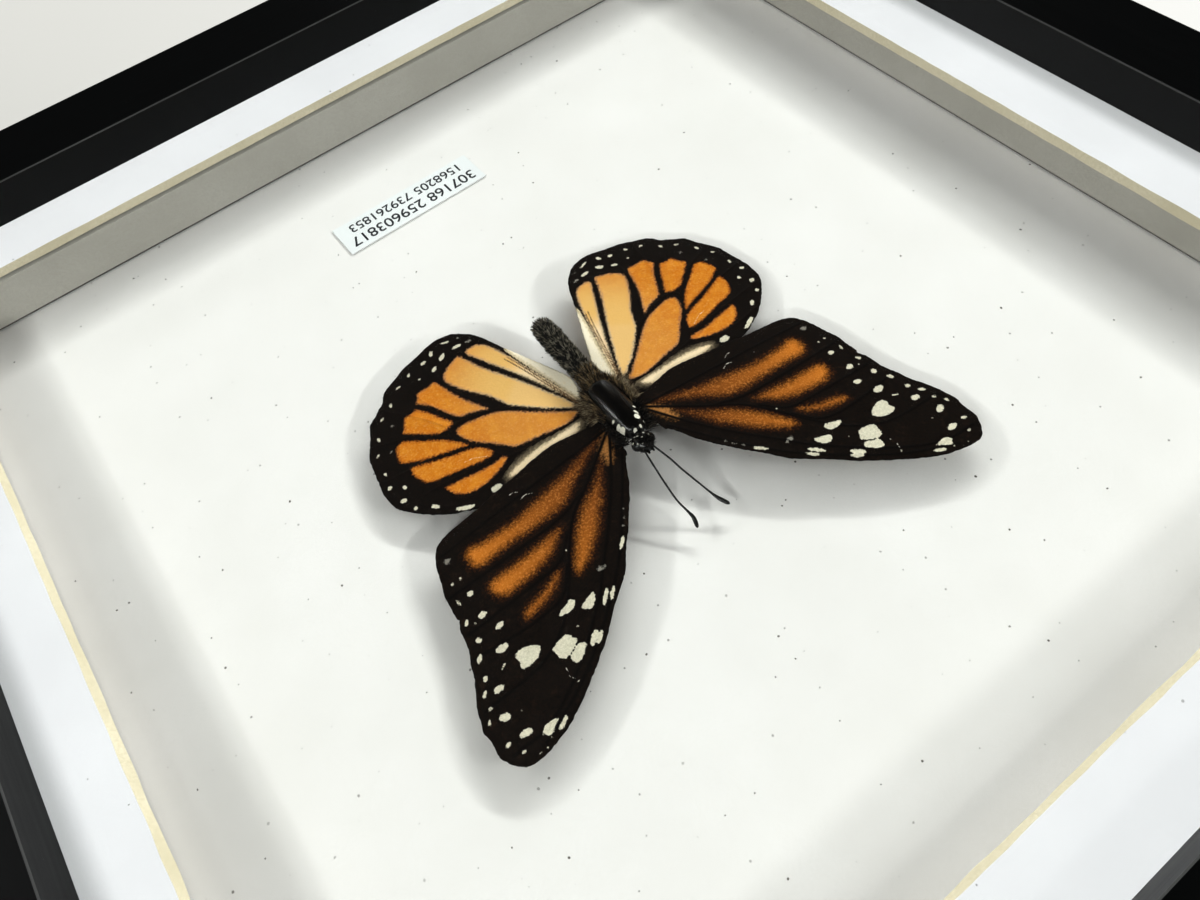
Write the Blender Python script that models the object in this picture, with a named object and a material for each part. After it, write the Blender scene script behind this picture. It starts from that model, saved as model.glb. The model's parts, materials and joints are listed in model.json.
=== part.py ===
"""Square shadow-box frame with a set butterfly inside, lying on its back.

+X is the reader's right, +Y the top edge of the frame, +Z out through the glass.
Lengths are given in millimetres and built in metres.
"""

import bmesh
import bpy
from math import cos, pi, radians, sin
from mathutils import Matrix, Vector

MM = 0.001

# Moulding: half sizes from the centre, heights from the back of the rails
OPENING_HALF = 100.0        # inner face of the lip
REBATE_HALF = 106.0         # wall of the rebate behind the lip
OUTER_HALF = 118.0
DEPTH = 30.0
LIP_UNDER = 22.0
FACE_FALL = 1.0             # the front face drops this much towards the outer edge
EASE = 0.9                  # eased outer arris
MITRE_GAP = 0.15            # half of the gap between two rails

# Contents, from the back plane of the rails upwards
PANEL_Z = (4.6, 7.1)
BOARD_Z = (7.4, 10.4)       # the specimen's white board; its top is the display floor
LINER_Z = (10.7, 18.2)
MAT_Z = (18.5, 19.8)
GLASS_Z = (20.1, 21.7)
SHEET_HALF = 105.5

# Mat window at the underside of the board; the bevel opens it towards the glass
WINDOW_X = (-87.9, 90.0)
WINDOW_Y = (-90.0, 88.2)
BEVEL_RUN = 1.2

# Liner strips: where their inner faces stand
LINER_THICK = 6.0
LINER_LEFT = -90.6
LINER_RIGHT = 93.2
LINER_TOP = 89.8
LINER_BOTTOM = -87.0
LINER_LEAN = 2.2            # the bottom strip leans outwards by this much
GAP = 0.3

# Butterfly: place on the board, turn, and heights above the board
FLY_AT = (5.5, 9.0)
FLY_TURN = -2.0
WING_THICK = 0.25
FORE_Z = 4.55
HIND_Z = 3.90
DROOP = 0.05                # fall of the wings per unit of span

# The left wings differ a little from the mirrored right ones: about a pivot, they are stretched,
# turned and shifted
FORE_PIVOT = (26.2, 14.8)
HIND_PIVOT = (20.8, -15.1)
FORE_LEFT = {"stretch": (0.969, 1.006), "turn": -0.4, "shift": (0.0, 0.33)}
HIND_LEFT = {"stretch": (0.978, 0.965), "turn": -1.4, "shift": (0.0, 0.29)}

# Wing outlines of the right side, across and along the body
FOREWING = [
    (3.3, 2.0), (3.4, 7.2), (4.8, 9.6), (7.0, 13.4), (11.0, 18.5), (16.2, 24.4),
    (23.0, 29.9), (30.0, 34.55), (36.0, 37.4), (40.2, 38.15), (43.0, 36.8), (44.25, 34.0),
    (44.25, 30.2), (42.6, 25.5), (40.7, 21.0), (39.6, 16.0), (38.7, 10.0), (37.3, 5.2),
    (35.2, 2.15), (31.0, 1.2), (25.0, 0.45), (18.5, -0.45), (12.5, -1.1), (8.0, -0.45),
    (3.3, 0.2),
]
HINDWING = [
    (3.4, -0.8), (3.4, -5.0), (3.0, -9.0), (3.2, -13.3), (5.0, -17.6), (7.2, -22.6),
    (8.9, -26.8), (10.8, -30.0), (13.4, -32.1), (16.5, -32.7), (20.2, -31.9),
    (25.2, -30.5), (28.8, -28.8), (31.0, -26.5), (34.1, -23.9), (37.0, -18.2),
    (38.0, -11.5), (37.6, -8.3), (34.3, -4.0), (30.5, -1.2), (27.0, 0.5), (18.0, 1.5),
    (9.0, 0.8),
]

# Body: (along, half width, half height, height of the axis above the board)
THORAX = [
    (-5.6, 1.9, 1.6, 4.7), (-4.4, 2.6, 2.2, 4.8), (-1.5, 2.95, 2.5, 4.9),
    (1.5, 2.9, 2.6, 5.0), (4.0, 2.5, 2.4, 5.0), (5.6, 1.9, 1.8, 5.0), (6.3, 1.1, 1.0, 5.0),
]
ABDOMEN = [
    (-5.9, 1.7, 1.5, 4.7), (-7.0, 2.0, 1.9, 4.7), (-10.0, 2.2, 2.1, 4.7),
    (-15.0, 2.35, 2.2, 4.6), (-19.0, 2.3, 2.1, 4.5), (-21.8, 1.9, 1.7, 4.4),
    (-23.0, 1.2, 1.0, 4.3), (-23.5, 0.5, 0.4, 4.3),
]
HEAD = [
    (6.6, 1.2, 1.0, 4.9), (7.2, 1.8, 1.35, 4.9), (8.1, 2.0, 1.5, 4.9),
    (9.1, 1.6, 1.3, 4.9), (9.9, 0.9, 0.8, 4.9),
]
HEAD_ASIDE = 0.3            # the head sits a little to the right of the body's line
# Antennae: (across, along, height), falling from the head towards the board, with radii
ANTENNA_LEFT = [
    (-0.5, 10.2, 5.2), (-1.3, 12.9, 4.4), (-2.0, 16.0, 3.6), (-2.8, 19.1, 2.8),
    (-3.5, 21.6, 2.1), (-4.5, 23.5, 1.6),
]
ANTENNA_RIGHT = [
    (1.2, 10.2, 5.2), (1.6, 13.4, 4.4), (1.9, 17.0, 3.4), (1.75, 20.2, 2.5),
    (1.5, 22.2, 2.0), (1.9, 23.8, 1.6),
]
ANTENNA_R = [0.13, 0.12, 0.12, 0.14, 0.22, 0.26]

LABEL_AT = (4.95, -60.9)
LABEL_SIZE = (32.0, 8.6)
RISER = (4.0, 8.0, 1.8)     # foam block under the thorax


def clear_scene():
    for thing in list(bpy.data.objects):
        bpy.data.objects.remove(thing, do_unlink=True)


def finish(name, colour, metallic=0.0, roughness=0.5):
    """A plain Principled material."""
    mat = bpy.data.materials.new(name)
    mat.use_nodes = True
    shader = mat.node_tree.nodes["Principled BSDF"]
    shader.inputs["Base Color"].default_value = (*colour, 1.0)
    shader.inputs["Metallic"].default_value = metallic
    shader.inputs["Roughness"].default_value = roughness
    return mat


def add_object(name, bm, mat, smooth_angle=None):
    """Turns the bmesh, in millimetres, into an object in metres with outward faces."""
    bmesh.ops.scale(bm, vec=(MM, MM, MM), verts=bm.verts)
    bmesh.ops.recalc_face_normals(bm, faces=bm.faces)
    mesh = bpy.data.meshes.new(name)
    bm.to_mesh(mesh)
    bm.free()
    mesh.materials.append(mat)
    if smooth_angle is not None:
        mesh.shade_smooth()
        mesh.set_sharp_from_angle(angle=radians(smooth_angle))
    obj = bpy.data.objects.new(name, mesh)
    bpy.context.collection.objects.link(obj)
    return obj


def box(name, mat, x, y, z):
    """An upright block between pairs of x, y and z."""
    bm = bmesh.new()
    bmesh.ops.create_cube(bm, size=1.0)
    size = (x[1] - x[0], y[1] - y[0], z[1] - z[0])
    centre = ((x[0] + x[1]) / 2, (y[0] + y[1]) / 2, (z[0] + z[1]) / 2)
    bmesh.ops.scale(bm, vec=size, verts=bm.verts)
    bmesh.ops.translate(bm, vec=centre, verts=bm.verts)
    return add_object(name, bm, mat)


def prism(bm, bottom, top):
    """A closed body between two rings with the same number of points."""
    low = [bm.verts.new(p) for p in bottom]
    high = [bm.verts.new(p) for p in top]
    bm.faces.new(low)
    bm.faces.new(high)
    for i in range(len(low)):
        j = (i + 1) % len(low)
        bm.faces.new((low[i], low[j], high[j], high[i]))
    return bm


def rounded(points, steps=3):
    """A closed Catmull-Rom outline through the points."""
    out = []
    n = len(points)
    for i in range(n):
        p0, p1, p2, p3 = (Vector(points[(i + k) % n]) for k in (-1, 0, 1, 2))
        for s in range(steps):
            t = s / steps
            out.append(0.5 * (2 * p1 + (p2 - p0) * t + (2 * p0 - 5 * p1 + 4 * p2 - p3) * t * t
                              + (3 * p1 - p0 - 3 * p2 + p3) * t ** 3))
    return out


# ---------------------------------------------------------------- moulding

def rail(name, turn, mat):
    """One mitred length: the section is drawn for the top rail and turned into place."""
    section = [
        (OPENING_HALF, LIP_UNDER), (OPENING_HALF, DEPTH),
        (OUTER_HALF - EASE, DEPTH - FACE_FALL), (OUTER_HALF, DEPTH - FACE_FALL - EASE),
        (OUTER_HALF, 0.0), (REBATE_HALF, 0.0), (REBATE_HALF, LIP_UNDER),
    ]
    bm = bmesh.new()
    left = [(-d + MITRE_GAP * 1.41, d, z) for d, z in section]
    right = [(d - MITRE_GAP * 1.41, d, z) for d, z in section]
    prism(bm, left, right)
    bmesh.ops.rotate(bm, verts=bm.verts, matrix=Matrix.Rotation(radians(turn), 3, "Z"))
    return add_object(name, bm, mat)


# ---------------------------------------------------------------- mat and liner

def mat_window(mat):
    """The board with its bevel-cut opening, wider at the top face."""
    def ring(x0, x1, y0, y1, z):
        return [(x0, y0, z), (x1, y0, z), (x1, y1, z), (x0, y1, z)]
    half = SHEET_HALF - 0.2
    (x0, x1), (y0, y1), run = WINDOW_X, WINDOW_Y, BEVEL_RUN
    bm = bmesh.new()
    rings = [
        ring(-half, half, -half, half, MAT_Z[0]),
        ring(-half, half, -half, half, MAT_Z[1]),
        ring(x0 - run, x1 + run, y0 - run, y1 + run, MAT_Z[1]),
        ring(x0, x1, y0, y1, MAT_Z[0]),
    ]
    rings = [[bm.verts.new(p) for p in r] for r in rings]
    for a, b in zip(rings, rings[1:] + rings[:1]):
        for i in range(4):
            j = (i + 1) % 4
            bm.faces.new((a[i], a[j], b[j], b[i]))
    return add_object("mat_window", bm, mat)


def liners(mat):
    """Four strips between board and mat; the bottom one leans a little outwards."""
    half = SHEET_HALF - 0.2
    box("liner_top", mat, (-half, half), (LINER_TOP, LINER_TOP + LINER_THICK), LINER_Z)
    low, high = LINER_Z
    inner, outer = LINER_BOTTOM, LINER_BOTTOM - LINER_THICK
    section = [(inner, low), (inner - LINER_LEAN, high), (outer - LINER_LEAN, high), (outer, low)]
    bm = bmesh.new()
    prism(bm, [(-half, y, z) for y, z in section], [(half, y, z) for y, z in section])
    add_object("liner_bottom", bm, mat)
    side = (LINER_BOTTOM + GAP, LINER_TOP - GAP)
    box("liner_left", mat, (LINER_LEFT - LINER_THICK, LINER_LEFT), side, LINER_Z)
    box("liner_right", mat, (LINER_RIGHT, LINER_RIGHT + LINER_THICK), side, LINER_Z)


# ---------------------------------------------------------------- back of the frame

def flexi_point(name, across, turn, mat):
    """A flat steel point driven into the rebate and bent down onto the panel."""
    root = REBATE_HALF - GAP
    section = [
        (root, 2.9), (root, 3.5), (root - 3.7, 3.6), (root - 8.7, 4.3),
        (root - 11.2, 4.3), (root - 11.2, 3.7), (root - 8.8, 3.7), (root - 3.8, 3.0),
    ]
    bm = bmesh.new()
    prism(bm, [(across - 3.0, d, z) for d, z in section], [(across + 3.0, d, z) for d, z in section])
    bmesh.ops.rotate(bm, verts=bm.verts, matrix=Matrix.Rotation(radians(turn), 3, "Z"))
    return add_object(name, bm, mat)


NAIL_X = 19.0
HANGER_Y = 88.0


def nail_cutter(name):
    """Shape of the nail holes, through hanger and part of the panel."""
    bm = bmesh.new()
    for side in (-1, 1):
        made = bmesh.ops.create_cone(bm, cap_ends=True, segments=16, radius1=0.9, radius2=0.9,
                                     depth=6.0)
        bmesh.ops.translate(bm, verts=made["verts"], vec=(side * NAIL_X, HANGER_Y + 1.5, 3.6))
    cutter = add_object(name, bm, finish("cutter", (0.5, 0.5, 0.5)))
    cutter.hide_render = True
    cutter.display_type = "WIRE"
    return cutter


def cut(obj, cutter):
    mod = obj.modifiers.new("holes", "BOOLEAN")
    mod.operation = "DIFFERENCE"
    mod.solver = "EXACT"
    mod.object = cutter


def sawtooth_hanger(mat):
    """A bowed strip with teeth along its lower edge, nailed to the panel at both ends."""
    stations = [(-22.0, 0), (-16.0, 0)]
    stations += [(-14.0 + i, i % 2) for i in range(29)]
    stations += [(16.0, 0), (22.0, 0)]
    bm = bmesh.new()
    rings = []
    for x, tooth in stations:
        bow = 1.3 * max(0.0, cos(pi * x / 32.0)) if abs(x) < 16 else 0.0
        low, high = 3.5 - bow, 4.3 - bow
        foot = HANGER_Y - 2.6 - 1.3 * tooth
        head = HANGER_Y + 4.0
        ring = [(x, foot, low), (x, head, low), (x, head, high), (x, foot, high)]
        rings.append([bm.verts.new(p) for p in ring])
    for a, b in zip(rings, rings[1:]):
        for i in range(4):
            j = (i + 1) % 4
            bm.faces.new((a[i], a[j], b[j], b[i]))
    bm.faces.new(rings[0])
    bm.faces.new(rings[-1])
    return add_object("sawtooth_hanger", bm, mat)


def hanger_nail(name, x, mat):
    """A short panel nail: domed head below the strip, shank up into the panel."""
    profile = [(0.0, 2.3), (0.9, 2.4), (1.6, 2.8), (1.6, 3.2), (0.6, 3.2), (0.6, 5.6), (0.0, 6.2)]
    bm = bmesh.new()
    verts = [bm.verts.new((r, 0.0, z)) for r, z in profile]
    edges = [bm.edges.new(pair) for pair in zip(verts, verts[1:])]
    bmesh.ops.spin(bm, geom=verts + edges, axis=(0, 0, 1), cent=(0, 0, 0), angle=2 * pi,
                   steps=16, use_merge=True)
    bmesh.ops.remove_doubles(bm, verts=bm.verts, dist=0.0001)
    bmesh.ops.translate(bm, verts=bm.verts, vec=(x, HANGER_Y + 1.5, 0.0))
    return add_object(name, bm, mat, smooth_angle=40)


# ---------------------------------------------------------------- butterfly

def fly_matrix():
    """Butterfly space (across, along, height over the board) into the frame's space."""
    return (Matrix.Translation((FLY_AT[0], FLY_AT[1], BOARD_Z[1]))
            @ Matrix.Rotation(radians(FLY_TURN), 4, "Z"))


def wing(name, outline, pivot, low, side, mat, stretch=(1.0, 1.0), turn=0.0, shift=(0.0, 0.0)):
    """A thin plate on the outline, falling towards its tip; side is +1 right, -1 left."""
    centre = Vector(pivot)
    change = Matrix.Rotation(radians(turn), 2) @ Matrix(((stretch[0], 0.0), (0.0, stretch[1])))
    points = [centre + change @ (p - centre) + Vector(shift) for p in rounded(outline)]
    bottom = [(side * p.x, p.y, low - DROOP * p.x) for p in points]
    top = [(x, y, z + WING_THICK) for x, y, z in bottom]
    bm = bmesh.new()
    prism(bm, bottom, top)
    bmesh.ops.transform(bm, matrix=fly_matrix(), verts=bm.verts)
    return add_object(name, bm, mat)


def body(name, stations, mat, aside=0.0, segments=20):
    """An elliptical section carried along the body."""
    bm = bmesh.new()
    rings = []
    for along, wide, high, axis in stations:
        ring = []
        for i in range(segments):
            a = 2 * pi * i / segments
            ring.append(bm.verts.new((aside + wide * cos(a), along, axis + high * sin(a))))
        rings.append(ring)
    for a, b in zip(rings, rings[1:]):
        for i in range(segments):
            j = (i + 1) % segments
            bm.faces.new((a[i], a[j], b[j], b[i]))
    bm.faces.new(rings[0])
    bm.faces.new(rings[-1])
    bmesh.ops.transform(bm, matrix=fly_matrix(), verts=bm.verts)
    return add_object(name, bm, mat, smooth_angle=50)


def antenna(name, path, mat, segments=8):
    """A thin rod with a clubbed end."""
    bm = bmesh.new()
    rings = []
    points = [Vector(place) for place in path]
    for k, (p, r) in enumerate(zip(points, ANTENNA_R)):
        ahead = points[min(k + 1, len(points) - 1)] - points[max(k - 1, 0)]
        across = Vector((ahead.y, -ahead.x, 0.0)).normalized()
        ring = []
        for i in range(segments):
            a = 2 * pi * i / segments
            ring.append(bm.verts.new(p + across * r * cos(a) + Vector((0, 0, r * sin(a)))))
        rings.append(ring)
    for a, b in zip(rings, rings[1:]):
        for i in range(segments):
            j = (i + 1) % segments
            bm.faces.new((a[i], a[j], b[j], b[i]))
    bm.faces.new(rings[0])
    bm.faces.new(rings[-1])
    bmesh.ops.transform(bm, matrix=fly_matrix(), verts=bm.verts)
    return add_object(name, bm, mat, smooth_angle=50)


def label(mat):
    wide, high = LABEL_SIZE
    z = BOARD_Z[1] + GAP
    corners = [(-wide / 2, -high / 2), (wide / 2, -high / 2), (wide / 2, high / 2), (-wide / 2, high / 2)]
    bm = bmesh.new()
    prism(bm, [(x, y, z) for x, y in corners], [(x, y, z + 0.2) for x, y in corners])
    bmesh.ops.rotate(bm, verts=bm.verts, matrix=Matrix.Rotation(radians(0.5), 3, "Z"))
    bmesh.ops.translate(bm, verts=bm.verts, vec=(*LABEL_AT, 0.0))
    return add_object("label", bm, mat)


# ---------------------------------------------------------------- build

clear_scene()

black_paint = finish("black_paint", (0.012, 0.012, 0.013), roughness=0.45)
clear_glass = finish("clear_glass", (0.9, 0.95, 0.93), roughness=0.02)
clear_glass.node_tree.nodes["Principled BSDF"].inputs["Transmission Weight"].default_value = 1.0
mat_board = finish("mat_board", (0.82, 0.83, 0.82), roughness=0.9)
liner_board = finish("liner_board", (0.72, 0.71, 0.68), roughness=0.9)
white_board = finish("white_board", (0.85, 0.85, 0.84), roughness=0.9)
hardboard = finish("hardboard", (0.28, 0.17, 0.09), roughness=0.8)
point_steel = finish("point_steel", (0.55, 0.55, 0.55), metallic=1.0, roughness=0.4)
hanger_brass = finish("hanger_brass", (0.75, 0.58, 0.28), metallic=1.0, roughness=0.35)
label_paper = finish("label_paper", (0.86, 0.88, 0.9), roughness=0.8)
riser_foam = finish("riser_foam", (0.8, 0.8, 0.78), roughness=0.95)
forewing_scales = finish("forewing_scales", (0.05, 0.025, 0.015), roughness=0.8)
hindwing_scales = finish("hindwing_scales", (0.7, 0.32, 0.06), roughness=0.8)
thorax_cuticle = finish("thorax_cuticle", (0.02, 0.017, 0.015), roughness=0.4)
abdomen_hair = finish("abdomen_hair", (0.035, 0.03, 0.027), roughness=0.9)
antenna_cuticle = finish("antenna_cuticle", (0.01, 0.01, 0.01), roughness=0.4)

for rail_name, turn in (("rail_top", 0), ("rail_left", 90), ("rail_bottom", 180), ("rail_right", 270)):
    rail(rail_name, turn, black_paint)

sheet = (-SHEET_HALF, SHEET_HALF)
box("glass_pane", clear_glass, sheet, sheet, GLASS_Z)
mat_window(mat_board)
liners(liner_board)
box("mount_board", white_board, sheet, sheet, BOARD_Z)
panel = box("back_panel", hardboard, sheet, sheet, PANEL_Z)

count = 0
for turn in (0, 90, 180, 270):
    for across in (-55.0, 55.0):
        count += 1
        flexi_point(f"flexi_point_{count}", across, turn, point_steel)

hanger = sawtooth_hanger(hanger_brass)
holes = nail_cutter("nail_holes")
cut(hanger, holes)
cut(panel, holes)
hanger_nail("hanger_nail_1", -NAIL_X, hanger_brass)
hanger_nail("hanger_nail_2", NAIL_X, hanger_brass)

label(label_paper)
riser_wide, riser_long, riser_high = RISER
box("riser_block", riser_foam,
    (FLY_AT[0] - riser_wide / 2, FLY_AT[0] + riser_wide / 2),
    (FLY_AT[1] - riser_long / 2, FLY_AT[1] + riser_long / 2),
    (BOARD_Z[1] + GAP, BOARD_Z[1] + GAP + riser_high))

body("thorax", THORAX, thorax_cuticle)
body("abdomen", ABDOMEN, abdomen_hair)
body("head", HEAD, thorax_cuticle, aside=HEAD_ASIDE)
antenna("antenna_left", ANTENNA_LEFT, antenna_cuticle)
antenna("antenna_right", ANTENNA_RIGHT, antenna_cuticle)

wing("forewing_right", FOREWING, FORE_PIVOT, FORE_Z, 1, forewing_scales)
wing("forewing_left", FOREWING, FORE_PIVOT, FORE_Z, -1, forewing_scales, **FORE_LEFT)
wing("hindwing_right", HINDWING, HIND_PIVOT, HIND_Z, 1, hindwing_scales)
wing("hindwing_left", HINDWING, HIND_PIVOT, HIND_Z, -1, hindwing_scales, **HIND_LEFT)
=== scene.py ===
# %% [markdown]
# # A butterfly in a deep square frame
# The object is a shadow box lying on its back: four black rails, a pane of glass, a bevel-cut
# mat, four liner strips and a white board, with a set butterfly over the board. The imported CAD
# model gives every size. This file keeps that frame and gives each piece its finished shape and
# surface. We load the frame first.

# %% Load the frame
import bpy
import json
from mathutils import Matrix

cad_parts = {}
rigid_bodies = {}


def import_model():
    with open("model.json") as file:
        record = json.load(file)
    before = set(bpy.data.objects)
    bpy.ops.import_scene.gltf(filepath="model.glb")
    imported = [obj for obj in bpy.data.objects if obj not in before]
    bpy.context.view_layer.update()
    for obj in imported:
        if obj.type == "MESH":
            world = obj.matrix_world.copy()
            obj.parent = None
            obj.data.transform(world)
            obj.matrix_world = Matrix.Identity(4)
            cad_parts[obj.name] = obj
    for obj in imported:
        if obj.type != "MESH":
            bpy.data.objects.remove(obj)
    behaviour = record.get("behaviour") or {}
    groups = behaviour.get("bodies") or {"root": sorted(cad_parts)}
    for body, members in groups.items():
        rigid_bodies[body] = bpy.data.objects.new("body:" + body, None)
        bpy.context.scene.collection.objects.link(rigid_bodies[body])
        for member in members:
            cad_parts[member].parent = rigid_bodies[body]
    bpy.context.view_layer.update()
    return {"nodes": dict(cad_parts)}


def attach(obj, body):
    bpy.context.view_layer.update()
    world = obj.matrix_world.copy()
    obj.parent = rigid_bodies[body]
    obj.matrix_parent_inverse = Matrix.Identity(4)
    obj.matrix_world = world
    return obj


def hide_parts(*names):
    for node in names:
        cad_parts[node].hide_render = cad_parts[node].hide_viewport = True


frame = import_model()

# %% Modules and units
import json
import math

import bmesh
import bpy
import numpy as np
from mathutils import Matrix, Vector

MM = 0.001
UP = Vector((0.0, 0.0, 1.0))
scene = bpy.context.scene
scene.view_settings.view_transform = "Standard"
scene.view_settings.gamma = 0.84  # a little more contrast, as a camera adds
print("Blender", bpy.app.version_string)

# %% [markdown]
# ## Small helpers
# Colours are written as sRGB hex, the way a paint chart gives them, and one function turns them
# into the linear values that shaders work in. One more adds a node: its own settings go in as
# keywords, and its inputs as a dictionary of values or of sockets to link. Pattern sizes are
# real sizes in millimetres, so a third turns a size into a texture scale.

# %% Colour, node and size helpers
def tint(code):
    """sRGB hex, such as #c8963c, as linear RGBA."""
    parts = [int(code[i:i + 2], 16) / 255 for i in (1, 3, 5)]
    return tuple(p / 12.92 if p <= 0.04045 else ((p + 0.055) / 1.055) ** 2.4
                 for p in parts) + (1.0,)


def add(tree, kind, inputs=None, **settings):
    """Adds one node; inputs holds values, hex colours or sockets to link."""
    node = tree.nodes.new("ShaderNode" + kind)
    for key, value in settings.items():
        setattr(node, key, value)
    for key, value in (inputs or {}).items():
        if isinstance(value, bpy.types.NodeSocket):
            tree.links.new(value, node.inputs[key])
        else:
            node.inputs[key].default_value = tint(value) if isinstance(value, str) else value
    return node


def per_mm(size):
    """The texture scale that makes a pattern's features this many millimetres apart."""
    return 1.0 / (size * MM)


# Mix nodes in colour mode: where their sockets sit
FACTOR, FIRST, SECOND, RESULT = 0, 6, 7, 2
print("helpers ready; 0.5 mm grain has scale", per_mm(0.5))

# %% [markdown]
# ## Steps that every finish shares
# A finish starts as an empty material with one Principled shader. Colours go over one another
# like coats of paint, each where its share says. At the end the colour, the roughness and the
# relief are wired to the shader. A scatter of small dots serves for both dust and specks.

# %% Start, coats, shares, dots and the last wiring
def new_finish(name, values):
    """An empty node material: the material, its tree and its Principled shader."""
    mat = bpy.data.materials.new(name)
    mat.use_nodes = True
    tree = mat.node_tree
    tree.nodes.clear()
    shader = add(tree, "BsdfPrincipled", values)
    add(tree, "OutputMaterial", {"Surface": shader.outputs[0]})
    print("finish:", name)
    return mat, tree, shader


def layered(tree, colour, *coats):
    """Lays coats over a first colour; each coat is its share, from 0 to 1, and its colour."""
    for share, coat in coats:
        mix = add(tree, "Mix", {FACTOR: share, FIRST: colour, SECOND: coat}, data_type="RGBA")
        colour = mix.outputs[RESULT]
    return colour


def soft_share(tree, value, low, high, grain=None, shake=0.0, most=1.0):
    """A share that rises smoothly from 0 to most as a value goes from low to high. The value is
    a socket or an attribute's name, and grain can shake it, which gives a grainy border."""
    if isinstance(value, str):
        value = add(tree, "Attribute", attribute_name=value).outputs["Fac"]
    if grain is not None:
        shift = add(tree, "MapRange", {0: grain, 3: -shake, 4: shake})
        value = add(tree, "Math", {0: value, 1: shift.outputs[0]}, operation="ADD").outputs[0]
    return add(tree, "MapRange", {0: value, 1: low, 2: high, 4: most},
               interpolation_type="SMOOTHSTEP").outputs[0]


def dots(tree, where, gap, bare, size, channel=0, dimensions="3D"):
    """Dots of up to size mm in cells gap mm wide, of which the share bare has none.
    Gives the dots, and the cells' random numbers in three channels, one of which is used."""
    cells = add(tree, "TexVoronoi", {"Vector": where, "Scale": per_mm(gap)},
                voronoi_dimensions=dimensions)
    chance = add(tree, "SeparateColor", {0: cells.outputs["Color"]})
    radius = add(tree, "MapRange", {0: chance.outputs[channel], 1: bare, 2: 1.0, 3: 0.0,
                                    4: size / gap})
    dot = add(tree, "Math", {0: cells.outputs["Distance"], 1: radius.outputs[0]},
              operation="LESS_THAN")
    return dot.outputs[0], chance


def dress(tree, shader, colour, gloss=None, height=None, strength=0.5, depth=0.0):
    """The last wiring: colour, roughness as (pattern, low, high), and relief depth mm high."""
    tree.links.new(colour, shader.inputs["Base Color"])
    if gloss is not None:
        pattern, low, high = gloss
        rough = add(tree, "MapRange", {0: pattern, 3: low, 4: high})
        tree.links.new(rough.outputs[0], shader.inputs["Roughness"])
    if height is not None:
        bump = add(tree, "Bump", {"Height": height, "Strength": strength,
                                  "Distance": depth * MM})
        tree.links.new(bump.outputs[0], shader.inputs["Normal"])

# %% [markdown]
# Each finished mesh goes into the scene through one function. Shapes are drawn in millimetres
# and scaled to metres in the mesh itself, so that every object stays at the origin, unturned.
# The function also says which body the piece rides on and which CAD solids it stands for.

# %% Put a piece in place
def place(name, bm, mats, replaces=(), smooth=None):
    """Turns a bmesh in millimetres into a finished piece that rides on the frame."""
    bmesh.ops.scale(bm, vec=(MM, MM, MM), verts=bm.verts)
    mesh = bpy.data.meshes.new(name)
    bm.to_mesh(mesh)
    bm.free()
    return place_mesh(name, mesh, mats, replaces, smooth)


def place_mesh(name, mesh, mats, replaces=(), smooth=None):
    for mat in mats if isinstance(mats, (list, tuple)) else [mats]:
        mesh.materials.append(mat)
    if smooth is not None:
        mesh.shade_smooth()
        mesh.set_sharp_from_angle(angle=math.radians(smooth))
    piece = bpy.data.objects.new(name, mesh)
    scene.collection.objects.link(piece)
    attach(piece, "root")
    if replaces:
        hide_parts(*replaces)
    print(f"{name}: {len(mesh.polygons)} faces")
    return piece


# %% [markdown]
# ## Camera
# The view looks down over the top edge of the frame, from close by with a wide lens, so that the
# far side of the frame narrows. The camera's axes are given as three directions.

# %% Camera
EYE = Vector((0.046204, 0.078165, 0.133814))
RIGHT = Vector((-0.793094, 0.600876, -0.099748))
BACK = Vector((0.245444, 0.465152, 0.850524))
lens_data = bpy.data.cameras.new("view")
lens_data.sensor_width = 36.0
lens_data.lens = 26.406
lens_data.clip_start = 0.005
camera = bpy.data.objects.new("view", lens_data)
axes = Matrix((RIGHT, BACK.cross(RIGHT), BACK)).transposed()
camera.matrix_world = Matrix.Translation(EYE) @ axes.to_4x4()
scene.collection.objects.link(camera)
scene.camera = camera
print("camera", tuple(round(v, 3) for v in EYE))

# %% [markdown]
# ## Floor and light
# A pale floor under a ring light. A ring throws light into the box from nearly all sides, so
# the walls leave soft bands of shade, and the thin antennae leave faint loops instead of lines.
# The world fills the shade a little, and is darker still in reflections, so that the glass
# stays clear and the lacquer black.

# %% Floor
FLOOR_HALF = 0.6  # metres


def pale_floor():
    mat, tree, shader = new_finish("pale matt floor", {"Roughness": 0.85})
    where = add(tree, "TexCoord").outputs["Object"]
    cloud = add(tree, "TexNoise", {"Vector": where, "Scale": per_mm(160), "Detail": 3.0})
    # Painted light: the floor's colour grows lighter towards the left of the frame and out past
    # it
    along = add(tree, "SeparateXYZ", {0: where})
    painted_light_share = add(tree, "MapRange", {0: along.outputs["X"], 1: 0.1, 2: -0.3})
    dress(tree, shader, layered(tree, "#b9b9b4", (cloud.outputs[0], "#c3c3be"),
                                (painted_light_share.outputs[0], "#dededb")))
    bm = bmesh.new()
    bmesh.ops.create_grid(bm, x_segments=8, y_segments=8, size=FLOOR_HALF)
    mesh = bpy.data.meshes.new("floor")
    bm.to_mesh(mesh)
    bm.free()
    mesh.materials.append(mat)
    floor = bpy.data.objects.new("floor", mesh)
    scene.collection.objects.link(floor)
    print("floor, m:", 2 * FLOOR_HALF, "square")


pale_floor()

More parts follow.
